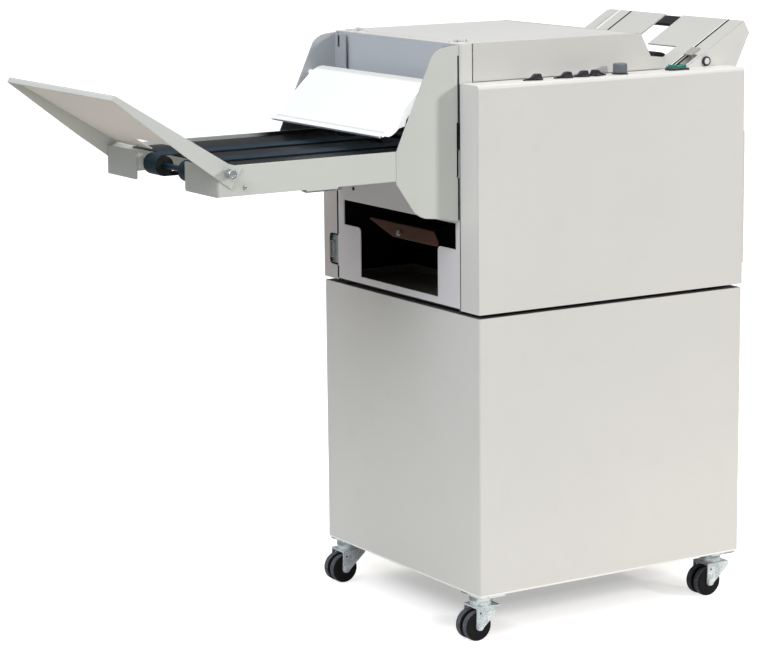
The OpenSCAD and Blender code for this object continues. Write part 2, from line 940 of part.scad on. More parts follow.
// One table plate: y0 at the middle gap, y1 at its side box, yc where its narrow strip begins
module table_plate(y0, yc, y1) {
    polygon([[0, y0], [-cut_len, y0], [-cut_len, yc], [-strip_len, yc], [-strip_len, y1], [0, y1]]);
}

module table_plates() {
    color([0.84, 0.83, 0.80])
        on_table()
            translate([0, 0, -table_t])
                linear_extrude(table_t) {
                    table_plate(gap_front, -cut_y, -side_in + 3);
                    table_plate(gap_rear, cut_y, rear_side_in - 3);
                }
}

module infeed_bridge() {
    color([0.20, 0.20, 0.21])
        on_table()
            difference() {
                box([-26, -side_in, -table_t - 6], [-1, rear_side_in, -table_t]);
                box([-24, -side_in - 1, -table_t - 7], [-3, rear_side_in + 1, -table_t - 2]);
            }
}

module infeed_deck() {
    color([0.60, 0.61, 0.62])
        box([feed_x + feed_r + 2, -frame_in + fit_gap, deck_z - sheet], [xr, frame_in - fit_gap, deck_z]);
}

module feed_roller() {
    color([0.13, 0.13, 0.14])
        translate([feed_x, 0, feed_z]) {
            rod_y(shaft_r, -side_in - sheet, rear_side_in + sheet, 0, 0);
            rod_y(feed_r, -cut_y + 2, gap_front - 20, 0, 0);
            rod_y(feed_r, gap_rear + 20, cut_y - 2, 0, 0);
        }
}

module guide_tab() {
    color([0.74, 0.70, 0.62])
        on_table() {
            box([-tab_x, -core + 20, fit_gap], [-tab_x + 23, -side_in + 5, fit_gap + 2]);
            box([-tab_x + 0.5, -core + 20, -12], [-tab_x + 4, -core + 25, fit_gap + 0.5]);
        }
}

module lock_knob() {
    color([0.08, 0.08, 0.09])
        translate([lock_x, -core - 1, lock_z]) {
            rod_y(8.5, -5, 0, 0, 0);
            rod_y(screw_r, -1, 14, 0, 0);
        }
}

// Under the lid

module paper_deck() {
    y1 = frame_in - fit_gap;
    color([0.68, 0.69, 0.70])
        difference() {
            union() {
                box([deck_x, -y1, deck_z - sheet], [feed_x - feed_r - 2, y1, deck_z]);
                for (s = [-1, 1])
                    scale([1, s, 1])
                        box([deck_x, y1 - sheet, deck_z - deck_fold], [feed_x - 20, y1, deck_z - 1]);
            }
            for (s = [-1, 1])
                box([-68, s * 60 - 16, deck_z - 5], [-52, s * 60 + 16, deck_z + 1]);
        }
}

module stitch_bar() {
    color([0.72, 0.73, 0.74])
        box([-70, -frame_in + fit_gap, ledge_z + 31], [-50, frame_in - fit_gap, ledge_z + 51]);
}

module stitch_head() {
    difference() {
        box([-84, -17, ledge_z + 6], [-36, 17, ledge_z + 58]);
        box([-70 - fit_gap, -18, ledge_z + 31 - fit_gap], [-50 + fit_gap, 18, ledge_z + 51 + fit_gap]);
    }
    box([-66, -8, ledge_z + 1], [-54, 8, ledge_z + 7]);
}

module stitch_head_front() {
    color([0.30, 0.31, 0.33])
        translate([0, -60, 0])
            stitch_head();
}

module stitch_head_rear() {
    color([0.30, 0.31, 0.33])
        translate([0, 60, 0])
            stitch_head();
}

// Controls on the front ledge

// A pointer knob with its pointer along -X when turn is 0
module pointer_knob(x, turn, reach) {
    translate([x, knob_y, ledge_z])
        rotate([0, 0, turn]) {
            translate([0, 0, fit_gap])
                cylinder(r = knob_r, h = 3);
            translate([0, 0, fit_gap])
                linear_extrude(2)
                    polygon([[-reach, -0.8], [-reach, 0.8], [-3, knob_r * 0.95], [-3, -knob_r * 0.95]]);
            difference() {
                translate([0, 0, 1])
                    linear_extrude(9.5)
                        polygon([[-reach + 1, -0.7], [-reach + 1, 0.7], [-7, 4.5], [10, 4.5], [10, -4.5],
                            [-7, -4.5]]);
                along_y(-6, 6)
                    polygon([[-reach - 1, 1.8], [-12, 4.6], [-3.5, 10.5], [-3.5, 12], [-reach - 1, 12]]);
                along_y(-6, 6)
                    polygon([[7, 10.5], [10, 2.5], [12, 2.5], [12, 12], [7, 12]]);
            }
            translate([0, 0, -8])
                cylinder(r = knob_shaft_r, h = 10);
        }
}

module knob_1() { color([0.09, 0.10, 0.14]) pointer_knob(knob_xs[0], 0, pointer_len + 6); }
module knob_2() { color([0.09, 0.10, 0.14]) pointer_knob(knob_xs[1], 0, pointer_len + 6); }
module knob_3() { color([0.09, 0.10, 0.14]) pointer_knob(knob_xs[2], 0, pointer_len); }
module knob_4() { color([0.09, 0.10, 0.14]) pointer_knob(knob_xs[3], 180, pointer_len); }

module cap_knob() {
    color([0.45, 0.49, 0.51])
        translate([cap_x, knob_y, ledge_z]) {
            translate([0, 0, fit_gap])
                cylinder(r = cap_r + 1.5, h = 2);
            translate([0, 0, 1])
                cylinder(r = cap_r, h = 18);
            translate([0, 0, -8])
                cylinder(r = knob_shaft_r, h = 10);
        }
}

module rocker_frame() {
    w = rocker_len / 2 + 2 - fit_gap;
    color([0.06, 0.06, 0.07])
        translate([rocker_x, knob_y, ledge_z])
            difference() {
                union() {
                    box([-w, -8 + fit_gap, -14], [w, 8 - fit_gap, 1]);
                    box([-w - 1.5, -9.5, 0], [w + 1.5, 9.5, 3.5]);
                }
                box([-rocker_len / 2 - 0.4, -6.6, -11], [rocker_len / 2 + 0.4, 6.6, 5]);
                rod_y(2 + run_gap, -7.4, 7.4, 0, -4);
            }
}

module rocker() {
    rocker_w = rocker_len / 2 - 1.2;
    color([0.02, 0.42, 0.33])
        translate([rocker_x, knob_y, ledge_z]) {
            along_y(-6.3, 6.3)
                polygon([[-rocker_w, -1], [-rocker_w, 10], [-rocker_w + 3, 10.2], [0, 7.2],
                    [rocker_w - 3, 9.6], [rocker_w, 9.4], [rocker_w, -1], [4, -8], [-4, -8]]);
            rod_y(2, -7.2, 7.2, 0, -4);
        }
}

cabinet_body();
cabinet_panels();
caster_mounts();
fork_fl();
fork_fr();
fork_rl();
fork_rr();
wheels_fl();
wheels_fr();
wheels_rl();
wheels_rr();
machine_feet();
base_plate();
front_frame();
rear_frame();
front_cover();
rear_cover();
end_panel();
right_panel();
service_plate();
power_inlet();
data_connector();
hood_bridge();
lid();
lid_pins();
hood_front();
hood_rear();
exit_guard();
exit_roller_upper();
exit_roller_lower();
bin_liner();
chute_plate();
chute_knob();
tray_pan();
tray_bed();
end_roller();
drive_roller();
tray_belts();
end_flap();
thumbscrew_front();
thumbscrew_rear();
infeed_front();
infeed_rear();
table_plates();
infeed_bridge();
infeed_deck();
feed_roller();
guide_tab();
lock_knob();
paper_deck();
stitch_bar();
stitch_head_front();
stitch_head_rear();
knob_1();
knob_2();
knob_3();
knob_4();
cap_knob();
rocker();
rocker_frame();
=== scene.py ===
"""Dresses the booklet maker: painted sheet, plated steel, rubber and plastic, and the small fittings on it."""

import json
import math

import bmesh
import bpy
from bpy.props import FloatProperty, FloatVectorProperty, IntProperty, PointerProperty
from mathutils import Matrix, Vector


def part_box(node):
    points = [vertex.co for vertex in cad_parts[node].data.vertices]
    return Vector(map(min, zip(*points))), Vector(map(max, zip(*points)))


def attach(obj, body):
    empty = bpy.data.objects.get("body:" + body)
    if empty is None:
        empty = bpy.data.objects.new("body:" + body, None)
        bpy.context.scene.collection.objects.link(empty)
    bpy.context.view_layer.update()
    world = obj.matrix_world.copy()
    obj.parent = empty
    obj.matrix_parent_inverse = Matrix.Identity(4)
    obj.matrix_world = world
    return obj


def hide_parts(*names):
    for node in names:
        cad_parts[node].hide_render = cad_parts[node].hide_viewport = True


bl_info = {
    "name": "Booklet Maker Looks",
    "version": (1, 0, 0),
    "blender": (4, 5, 0),
    "location": "3D View > Sidebar > Booklet Maker",
    "description": "Finishes, small fittings and studio for the booklet maker",
    "category": "Object",
}

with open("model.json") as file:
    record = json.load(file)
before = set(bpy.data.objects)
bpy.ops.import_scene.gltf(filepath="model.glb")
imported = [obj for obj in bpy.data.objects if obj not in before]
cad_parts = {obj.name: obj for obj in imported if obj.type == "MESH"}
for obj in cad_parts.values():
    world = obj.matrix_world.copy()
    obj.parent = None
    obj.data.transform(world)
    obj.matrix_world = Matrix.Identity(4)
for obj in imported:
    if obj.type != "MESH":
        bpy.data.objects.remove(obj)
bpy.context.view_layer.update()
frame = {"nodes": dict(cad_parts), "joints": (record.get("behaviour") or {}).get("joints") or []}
NODES = frame["nodes"]
JOINTS = {joint["name"]: joint for joint in frame["joints"]}
CORNERS = ("fl", "fr", "rl", "rr")

# Directions: to the right along the paper's run, to the rear across it, and up; and two of them turned round
RUN, ACROSS, UP = (1, 0, 0), (0, 1, 0), (0, 0, 1)
LEFT, FRONT = (-1, 0, 0), (0, -1, 0)

# Where finishes, painted shade and painted highlights change on the solids, in metres; a pair is a band
HEM_HIGHLIGHT_TOP = 0.0891
REAR_COVER_END = -0.2845
LID_TOP, LID_FRONT, LID_FOLD_SHADE = 1.0381, -0.1957, (0.0860, 0.0945)
EXIT_HALF, EXIT_RISE, HOOD_FOOT = 0.1895, (0.800, 0.9), 0.89
HOOD_INNER, HOOD_DARK = 0.1951, (0.845, 0.894)
BIN_FLOOR, CHUTE_TOP = 0.601, 0.7043
GUARD_SLOPE, GUARD_CHEEK = math.radians(46), 0.1815
GUARD_TOP, GUARD_FOLD = -0.006, (0.105, 0.110)
TRAY_WALL, TRAY_DARK, RAIL_END = 0.1929, -0.455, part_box("tray_pan")[0].x + 0.004
FLAP_DOWN, FLAP_FACE, FLAP_HALF = (-0.5225, 0, -0.8526), (-0.3584, -0.3570), 0.1905
TREAD_R, GROOVE_R = 0.0257, 0.02
TRAY_SLEEVE, EXIT_SLEEVE = 0.1725, 0.1605

# Turned and pressed fittings, in metres
SHAFT_R, SHAFT_DEEP = 0.003, 0.008
GRIP_TOP = 0.0105
PIN_STEP, BLADE_LONG = 0.0028, 0.013
SMOOTH_UNDER = math.radians(35)

# The soft shade on the floor: how far it spreads past the cabinet, drifts aside and fades, and each caster's own
SHADE_RUN, SHADE_ACROSS, SHADE_GAIN, SHADE_MOST = (0.228, 0.084, 0.838), (0.302, 0.161, 1.1), 2.4, 0.57
CASTER_DRIFT, CASTER_FADE, CASTER_MOST = Vector((0.044, 0.086, 0)), (0.02, 0.16), 0.5

# The sloped infeed table: its upper edge, and places measured from there along it, across it and up from it
TABLE_SLOPE = math.radians(30.5)
TABLE_EDGE = Vector((0.3298, 0, 1.050))
TABLE_FACE = -0.0013
TABLE_FOLD_HIGHLIGHT, SIDE_FOLD_HIGHLIGHT = (0.1510, 0.1542), (0.1690, 0.1732)
GUIDE_RECESS = ((-0.1505, -0.1115), (-0.1612, -0.1594), (-0.0046, -0.0012))


def screen(red, green, blue):
    """A colour as read on a screen, 0 to 255, in Blender's linear values."""
    def linear(level):
        level = level / 255
        return level / 12.92 if level <= 0.04045 else ((level + 0.055) / 1.055) ** 2.4
    return linear(red), linear(green), linear(blue)


def colour(name, about, red, green, blue):
    """A colour setting."""
    return FloatVectorProperty(name=name, description=about, subtype="COLOR", size=3, min=0, max=1,
                               default=screen(red, green, blue))


def length(name, about, metres):
    """A length setting."""
    return FloatProperty(name=name, description=about, subtype="DISTANCE", unit="LENGTH", default=metres,
                         min=0, precision=5)


class BookletColours(bpy.types.PropertyGroup):
    """Colours of the finishes."""
    cream: colour("Cream paint", "Cabinet, covers and lid", 222, 219, 214)
    grey: colour("Grey paint", "Hood plates, tray and flap", 205, 206, 200)
    # Painted light: lighter than the grey for light bounced up from the floor
    flap: colour("Flap face", "Underside of the end flap", 226, 218, 210)
    dust: colour("Paint dust", "What settles on the paint", 198, 194, 187)
    panel: colour("End panel paint", "Left end panel", 225, 221, 222)
    # Painted shade on the left end of the rear cover
    rear_end_shade: colour("Rear cover end", "Left end of the rear cover", 206, 200, 198)
    # Painted shade: cooler, darker paint where the hood's insides lie in shade
    hood_cool_shade: colour("Hood inside", "Inner faces of the hood", 210, 213, 218)
    # Painted shade: the cream paint darkened where the table faces up the slope
    table: colour("Table paint", "Infeed table plates", 205, 202, 196)
    dark: colour("Dark inside", "Insides that light hardly reaches", 26, 26, 27)
    zinc: colour("Zinc", "Plated forks and mounts", 234, 240, 243)
    passivate: colour("Passivate", "Faint yellow in the plating", 214, 207, 186)
    steel: colour("Steel", "Screws and bare steel", 186, 188, 190)
    rubber: colour("Rubber", "Wheels, feet and roller ends", 30, 30, 32)
    # Also the painted highlight on rubber edges and treads
    rubber_dust: colour("Rubber dust", "Grey of worn rubber", 104, 106, 112)
    # Partly painted reflection on the casters
    plating: colour("Plating shade", "Blue-grey shade in the plating of the casters", 96, 116, 124)
    black: colour("Black paint", "Tray bed and exit", 14, 14, 16)
    # Painted light: the bin floor is painted lighter than the black liner for the light that reaches it
    bin_floor_light: colour("Bin floor", "Floor of the bin, dulled by use", 132, 122, 108)
    plastic: colour("Black plastic", "Switch frame and inlet", 24, 24, 27)
    navy: colour("Knob plastic", "Pointer knobs", 13, 15, 28)
    teal: colour("Belt", "Tray belts and roller sleeve", 8, 36, 50)
    guard: colour("Guard", "Glossy exit guard", 254, 253, 251)
    # Painted shade on the guard's rounded border and lip
    guard_edge: colour("Guard border", "Border and lip of the guard", 222, 221, 216)
    brown: colour("Chute paint", "Lip of the chute plate", 114, 77, 58)
    cap: colour("Cap plastic", "Plain grey knob", 112, 119, 123)
    green: colour("Rocker", "Rocker switch", 0, 132, 112)
    beige: colour("Tab plastic", "Guide tab", 178, 174, 163)
    white: colour("Lock centre", "Centre of the lock knob", 226, 226, 224)
    connector: colour("Connector plate", "Plate of the data connector", 172, 188, 182)
    insert: colour("Connector insert", "Pin block of the data connector", 146, 132, 106)
    floor: colour("Floor", "Studio floor", 231, 228, 222)


class BookletSizes(bpy.types.PropertyGroup):
    """Sizes of the small fittings."""
    screw_r: length("Screw head", "Radius of a screw head", 0.0035)
    screw_h: length("Screw height", "Height of a screw head", 0.0019)
    soft_edge: length("Edge rounding", "How far paint rounds an edge", 0.0012)
    knurl: length("Knurl depth", "Depth of the grip on turned heads", 0.0004)
    knurls: IntProperty(name="Knurls", description="Grooves round a turned head", default=32, min=8, max=80)
    pin_r: length("Pin radius", "Radius of a connector pin", 0.0005)


class BookletStage(bpy.types.PropertyGroup):
    """Camera and light."""
    focal: FloatProperty(name="Lens", description="Focal length on a 36 mm wide frame, in mm", default=129.68)
    stand: FloatVectorProperty(name="Camera place", description="Where the camera stands", size=3,
                               subtype="TRANSLATION", unit="LENGTH", default=(-2.8252, -4.0354, 1.4120))
    aim: FloatVectorProperty(name="Camera turn", description="Bearing, dip and roll of the camera", size=3,
                             subtype="EULER", unit="ROTATION", default=(-0.5541619, 0.1842391, -0.010656))
    key: FloatProperty(name="Key light", description="Power of the key light", unit="POWER", default=100)
    fill: FloatProperty(name="Fill light", description="Power of the cool light at the left", unit="POWER",
                        default=62)
    sky: FloatProperty(name="Room light", description="Strength of the room light from above", default=2.75)
    glow: FloatProperty(name="Floor glow", description="How far the floor is lifted to white", default=0.95)


def sizes():
    """The size settings."""
    return bpy.context.scene.booklet_sizes


def shade(tint, factor):
    """A lighter or darker version of a colour."""
    return tuple(min(1.0, part * factor) for part in tint)


def hue(name, factor=1.0):
    """One colour setting as plain numbers, made lighter or darker by a factor."""
    return shade(getattr(bpy.context.scene.booklet_colours, name), factor)


def fold_highlight():
    """The cream paint lightened as a painted highlight, where a fold would catch the light."""
    return hue("cream", 1.35)


class Wire:
    """A socket on a bench; arithmetic on it adds Math nodes."""

    def __init__(self, bench, socket):
        self.bench = bench
        self.socket = socket

    def __add__(self, other):
        return self.bench.math("ADD", self, other)

    def __sub__(self, other):
        return self.bench.math("SUBTRACT", self, other)

    def __rsub__(self, other):
        return self.bench.math("SUBTRACT", other, self)

    def __mul__(self, other):
        return self.bench.math("MULTIPLY", self, other)

    def __truediv__(self, other):
        return self.bench.math("DIVIDE", self, other)

    def __rtruediv__(self, other):
        return self.bench.math("DIVIDE", other, self)

    def __pow__(self, other):
        return self.bench.math("POWER", self, other)

    def __rpow__(self, other):
        return self.bench.math("POWER", other, self)

    def __abs__(self):
        return self.bench.math("ABSOLUTE", self)

    __radd__ = __add__
    __rmul__ = __mul__


class Bench:
    """A node tree and the ways to add to it."""

    def __init__(self, tree, place):
        self.tree = tree
        self.tree.nodes.clear()
        self.spot = self.add("ShaderNodeTexCoord", out=place)

    def feed(self, socket, value):
        """Links a wire to a socket, or sets a number or colour on it."""
        if isinstance(value, Wire):
            self.tree.links.new(value.socket, socket)
        elif socket.type == "RGBA":
            socket.default_value = (*value[:3], 1)
        else:
            socket.default_value = value

    def add(self, kind, settings=None, sockets=None, out=0):
        """Adds a node: its settings first, then its sockets; gives back one output."""
        node = self.tree.nodes.new(kind)
        for key, value in (settings or {}).items():
            setattr(node, key, value)
        for key, value in (sockets or {}).items():
            self.feed(node.inputs[key], value)
        return None if out is None else Wire(self, node.outputs[out])

    def math(self, operation, *values):
        """A Math node."""
        return self.add("ShaderNodeMath", {"operation": operation}, dict(enumerate(values)))

    def vector(self, operation, first, second, out=0):
        """A Vector Math node."""
        return self.add("ShaderNodeVectorMath", {"operation": operation}, {0: first, 1: second}, out)

    def mix(self, share, first, second):
        """One colour over another, by share."""
        return self.add("ShaderNodeMix", {"data_type": "RGBA"}, {0: share, 6: first, 7: second}, 2)

    def step(self, value, low, high):
        """Rises smoothly from 0 at low to 1 at high."""
        return self.add("ShaderNodeMapRange", {"interpolation_type": "SMOOTHSTEP"},
                        {"Value": value, "From Min": low, "From Max": high, "To Min": 0.0, "To Max": 1.0})

    def along(self, axis):
        """How far along an axis a point lies."""
        return self.vector("DOT_PRODUCT", self.spot, axis, "Value")


class Finish(Bench):
    """One material: a Principled shader and the nodes that feed it."""

    def __init__(self, name):
        self.material = bpy.data.materials.new(name)
        self.material.use_nodes = True
        super().__init__(self.material.node_tree, "Object")
        shader = self.add("ShaderNodeBsdfPrincipled")
        self.add("ShaderNodeOutputMaterial", None, {"Surface": shader}, None)
        self.shader = shader.socket.node

    def past(self, value, level, soft=0.0003):
        """Is 1 beyond a level and 0 before it."""
        return self.step(value, level - soft, level + soft)

    def band(self, value, ends, soft=0.0004):
        """Is 1 between two ends and 0 outside."""
        return self.past(value, ends[0], soft) * (1 - self.past(value, ends[1], soft))

    def noise(self, scale, detail=3.0, stretch=(1, 1, 1)):
        """Noise of so many bumps a metre, about 0 to 1."""
        place = self.vector("MULTIPLY", self.spot, stretch) if stretch != (1, 1, 1) else self.spot
        return self.add("ShaderNodeTexNoise", None, {"Vector": place, "Scale": scale, "Detail": detail})

    def edge(self, radius):
        """The rounded normal near sharp edges, and a mask that is 1 on them."""
        rounded = self.add("ShaderNodeBevel", {"samples": 4}, {"Radius": radius})
        flat = self.add("ShaderNodeNewGeometry", out="Normal")
        return rounded, self.step(1 - self.vector("DOT_PRODUCT", rounded, flat, "Value"), 0.01, 0.25)

    def surface(self, colour, roughness, height, strength, depth, normal=None, fixed=None):
        """Feeds the shader, and sets what is the same all over on its own sockets."""
        relief = {"Height": height, "Strength": strength, "Distance": depth}
        if normal is not None:
            relief["Normal"] = normal
        bump = self.add("ShaderNodeBump", None, relief)
        feeds = {"Base Color": colour, "Roughness": roughness, "Normal": bump, **(fixed or {})}
        for key, value in feeds.items():
            self.feed(self.shader.inputs[key], value)
        return self.material


def sprayed_paint(name, tint, gloss=0.4, painted_light=None):
    """Sheet paint: fine orange peel, faint clouding, a little settled dust, and a painted highlight along folded
    edges.

    The last argument gives a (share, colour) pair for each part of the sheet that differs; these parts carry painted
    shade, painted highlights and other painted light.
    """
    paint = Finish(name)
    dust = hue("dust")
    rounded, rim = paint.edge(sizes().soft_edge)
    cloud = paint.step(paint.noise(2.6, 2.0), 0.3, 0.72)
    speck = paint.noise(950.0, 2.0)
    rub = paint.step(paint.noise(19.0, 5.0), 0.5, 0.85)
    base = paint.mix(cloud, shade(tint, 0.985), shade(tint, 1.015))
    base = paint.mix(rub * 0.1, base, dust)
    base = paint.mix(paint.step(speck, 0.35, 0.7) * 0.05, base, shade(dust, 0.8))
    # Painted highlight along the rounded edges
    base = paint.mix(rim * 0.6, base, shade(tint, 1.2))
    for share, other in painted_light(paint) if painted_light else ():
        base = paint.mix(share, base, other)
    peel = paint.noise(420.0, 2.0)
    rough = gloss + cloud * 0.05 + rub * 0.08 - rim * 0.08
    return paint.surface(base, rough, peel + speck * 0.3, 0.1, 0.0004, rounded)


def plated_steel(name, tint, other, stretch=(1, 1, 1), roughness=0.3, cast=0.45, metal=0.85):
    """Bright plating: a second cast in patches, partly painted reflection where it is dark and strong, fine rubbed
    grain, and a painted highlight along the edges.
    """
    steel = Finish(name)
    rounded, rim = steel.edge(0.0006)
    patch = steel.step(steel.noise(42.0, 2.0), 0.42, 0.62)
    grain = steel.noise(700.0, 3.0, stretch)
    # Second cast in patches; the dark blue-grey one on the casters is partly painted reflection
    base = steel.mix(patch * cast, tint, other)
    base = steel.mix(grain * 0.1, base, shade(tint, 0.72))
    # Painted highlight along the edges
    base = steel.mix(rim * 0.7, base, shade(tint, 1.15))
    return steel.surface(base, roughness + grain * 0.14 - rim * 0.06, grain, 0.015, 0.0002, rounded,
                         {"Metallic": metal})


def moulded_plastic(name, tint, roughness=0.4, grain=1400.0, worn_and_lit=0.35, coat=0.0):
    """Moulded plastic: spark-eroded grain, handled patches that shine, and a painted highlight along its edges."""
    plastic = Finish(name)
    rounded, rim = plastic.edge(0.0006)
    pits = plastic.add("ShaderNodeTexVoronoi", {"feature": "F1"}, {"Vector": plastic.spot, "Scale": grain})
    touch = plastic.step(plastic.noise(70.0, 3.0), 0.42, 0.68)
    base = plastic.mix(touch * 0.4, shade(tint, 0.9), shade(tint, 1.12))
    # Painted highlight along the edges
    base = plastic.mix(rim * worn_and_lit, base, tuple(part + 0.12 for part in tint))
    return plastic.surface(base, roughness - touch * 0.08 + pits * 0.12, pits, 0.08, 0.0002, rounded,
                           {"Coat Weight": coat})


def black_sheet(name, streak=(0.12, 1, 1), floor=None):
    """Satin black paint with long scuffs where paper has run over it and a painted highlight along its edges; floor
    is a level and the lighter colour below it, painted light on the floor of the bin.
    """
    sheet = Finish(name)
    tint = hue("black")
    rounded, rim = sheet.edge(0.0008)
    scuff = sheet.step(sheet.noise(240.0, 4.0, streak), 0.58, 0.82)
    film = sheet.noise(9.0, 3.0)
    base = sheet.mix(film * 0.5, shade(tint, 0.8), shade(tint, 1.3))
    base = sheet.mix(scuff * 0.1, base, (0.09, 0.09, 0.095))
    # Painted highlight along the edges
    base = sheet.mix(rim * 0.3, base, (0.1, 0.1, 0.105))
    if floor is not None:
        level, worn_and_lit = floor
        low = 1 - sheet.past(sheet.along(UP), level, 0.0004)
        # Painted light: below the level the floor is painted lighter
        base = sheet.mix(low * (0.75 + film * 0.25), base, worn_and_lit)
    return sheet.surface(base, 0.38 + scuff * 0.16 + film * 0.08, sheet.noise(520.0, 2.0), 0.08, 0.0003, rounded,
                         {"Specular IOR Level": 0.25})


def wheel_rubber(name, joint):
    """A caster wheel: a greyed, dusty tread, lighter in part as painted highlight, with fine moulding lines, a
    groove painted dark as shade, and a smooth dark hub inside it.
    """
    rubber = Finish(name)
    tint, dust = hue("rubber"), hue("rubber_dust")
    rounded, rim = rubber.edge(0.0008)
    arm = rubber.vector("SUBTRACT", rubber.spot, tuple(joint["pos_m"]))
    out = rubber.vector("DOT_PRODUCT", arm, tuple(joint["axis"]), "Value")
    reach = rubber.math("SQRT", rubber.vector("DOT_PRODUCT", arm, arm, "Value") - out * out)
    tread = rubber.past(reach, TREAD_R, 0.0005)
    lines = rubber.math("SINE", out * 4200.0) * 0.5 + 0.5
    grit = rubber.noise(260.0, 4.0)
    worn_and_lit = rubber.step(grit, 0.38, 0.7) * tread
    # The tread: grey of dust and wear, made lighter in part as painted highlight
    base = rubber.mix(tread * 0.5 + worn_and_lit * 0.5, tint, dust)
    base = rubber.mix((1 - tread) * 0.85, base, shade(tint, 0.3))
    # Painted highlight along the edges
    base = rubber.mix(rim * 0.15, base, shade(dust, 0.8))
    # Painted shade in the groove
    groove = 1 - rubber.step(abs(reach - GROOVE_R), 0.0002, 0.0009)
    base = rubber.mix(groove * 0.8, base, (0.004, 0.004, 0.004))
    height = grit * 0.4 + lines * tread * 0.25 - groove
    return rubber.surface(base, 0.5 + tread * 0.16 + grit * 0.1, height, 0.25, 0.0005, rounded,
                          {"Specular IOR Level": 0.2})


def soft_rubber(name, tint, dust):
    """Matt rubber with a bloom of dust and a painted highlight along its edges."""
    rubber = Finish(name)
    rounded, rim = rubber.edge(0.0006)
    bloom = rubber.step(rubber.noise(42.0, 4.0), 0.42, 0.75)
    pores = rubber.noise(320.0, 3.0)
    base = rubber.mix(bloom * 0.35, tint, dust)
    # Painted highlight along the edges, in the grey of dust
    base = rubber.mix(rim * 0.25, base, dust)
    return rubber.surface(base, 0.6 + pores * 0.16, pores, 0.15, 0.0003, rounded, {"Specular IOR Level": 0.2})


def woven_belt(name):
    """Woven belt: fine crossing threads with a sheen of paper dust in patches."""
    belt = Finish(name)
    tint = hue("teal")
    warp = belt.math("SINE", belt.along(ACROSS) * 5200.0)
    weft = belt.math("SINE", belt.along((1, 0, 0.35)) * 5200.0)
    weave = warp * weft * 0.5 + 0.5
    dusted = belt.step(belt.noise(38.0, 4.0, (0.3, 1, 1)), 0.4, 0.75)
    base = belt.mix(weave, shade(tint, 0.75), shade(tint, 1.25))
    base = belt.mix(dusted * 0.06, base, hue("rubber_dust"))
    return belt.surface(base, 0.5 + weave * 0.15, weave, 0.3, 0.0004, None, {"Specular IOR Level": 0.25})


def roller_skin(name, tint, rubber, ends):
    """A roller: a satin dark blue sleeve between two black rubber ends, with black end faces."""
    skin = Finish(name)
    out = skin.add("ShaderNodeNewGeometry", out="Normal")
    end = skin.math("MAXIMUM", skin.past(abs(skin.along(ACROSS)), ends, 0.0005),
                    skin.step(abs(skin.vector("DOT_PRODUCT", out, ACROSS, "Value")), 0.5, 0.8))
    rings = skin.math("SINE", skin.along(ACROSS) * 2600.0) * 0.5 + 0.5
    scuff = skin.step(skin.noise(90.0, 4.0, (1, 0.25, 1)), 0.45, 0.75)
    base = skin.mix(scuff * 0.35, tint, shade(tint, 1.4))
    base = skin.mix(end, base, shade(rubber, 0.3))
    return skin.surface(base, 0.34 + end * 0.2 + scuff * 0.12, rings * 0.3 + scuff, 0.08, 0.0003, None,
                        {"Specular IOR Level": 0.3})


def glossy_guard(name, hinge):
    """The exit guard: satin white, with a duller border along its top and its lip that is painted off-white as shade
    on their rounded edges, and cheeks that glow with painted light.
    """
    guard = Finish(name)
    tint = hue("guard")
    rounded, rim = guard.edge(0.0012)
    down = Vector((-math.sin(GUARD_SLOPE), 0, -math.cos(GUARD_SLOPE)))
    travel = guard.along(tuple(down)) - Vector(hinge).dot(down)
    top = 1 - guard.past(travel, GUARD_TOP, 0.0025)
    fold = guard.band(travel, GUARD_FOLD, 0.0008)
    smear = guard.noise(11.0, 2.0)
    base = guard.mix(smear * 0.5, tint, shade(tint, 0.96))
    # Painted shade on the rounded top border and on the lip
    base = guard.mix(guard.math("MAXIMUM", top, fold), base, hue("guard_edge"))
    # Painted highlight along the edges
    base = guard.mix(rim * 0.4, base, shade(tint, 1.1))
    # Painted light: the cheeks glow though nothing lights them
    cheek = guard.past(abs(guard.along(ACROSS)), GUARD_CHEEK, 0.001)
    guard.feed(guard.shader.inputs["Emission Color"], guard.mix(cheek, (0, 0, 0), (0.4, 0.4, 0.4)))
    return guard.surface(base, 0.34 + smear * 0.1 + top * 0.15, guard.noise(420.0, 2.0), 0.02, 0.0003, rounded,
                         {"Coat Weight": 0.2, "Coat Roughness": 0.3, "Emission Strength": 1.0})


def chute_paint(name):
    """The chute: brown satin paint on the lip that shows; the sheet past the lip is painted black as shade, and
    scuffed.
    """
    chute = Finish(name)
    tint = hue("brown")
    rounded, rim = chute.edge(0.0008)
    scratch = chute.step(chute.noise(420.0, 3.0, (0.08, 1, 0.08)), 0.6, 0.78)
    cloud = chute.noise(16.0, 3.0)
    behind = chute.past(chute.along(UP), CHUTE_TOP, 0.0006)
    base = chute.mix(cloud, shade(tint, 0.85), shade(tint, 1.15))
    # Painted shade: the sheet above the lip is painted black
    base = chute.mix(behind, base, hue("black"))
    base = chute.mix(scratch * 0.2, base, shade(tint, 1.6))
    # Painted highlight along the edges
    base = chute.mix(rim * 0.35, base, shade(tint, 1.8))
    return chute.surface(base, 0.4 + scratch * 0.2, cloud + scratch, 0.06, 0.0003, rounded)


def connector_finish(name, face):
    """The data connector: a dull green-grey plate and a bright shell standing off it."""
    finish = Finish(name)
    plate, shell = hue("connector"), hue("steel")
    rounded, rim = finish.edge(0.0004)
    proud = 1 - finish.past(finish.along(RUN), face - 0.0008, 0.0001)
    grain = finish.noise(500.0, 3.0)
    base = finish.mix(grain * 0.4, plate, shade(plate, 0.7))
    base = finish.mix(proud, base, shell)
    # Painted highlight along the edges
    base = finish.mix(rim * 0.4, base, shade(shell, 1.2))
    finish.feed(finish.shader.inputs["Metallic"], proud * 0.8)
    return finish.surface(base, 0.5 - proud * 0.18 + grain * 0.1, grain, 0.08, 0.0002, rounded)


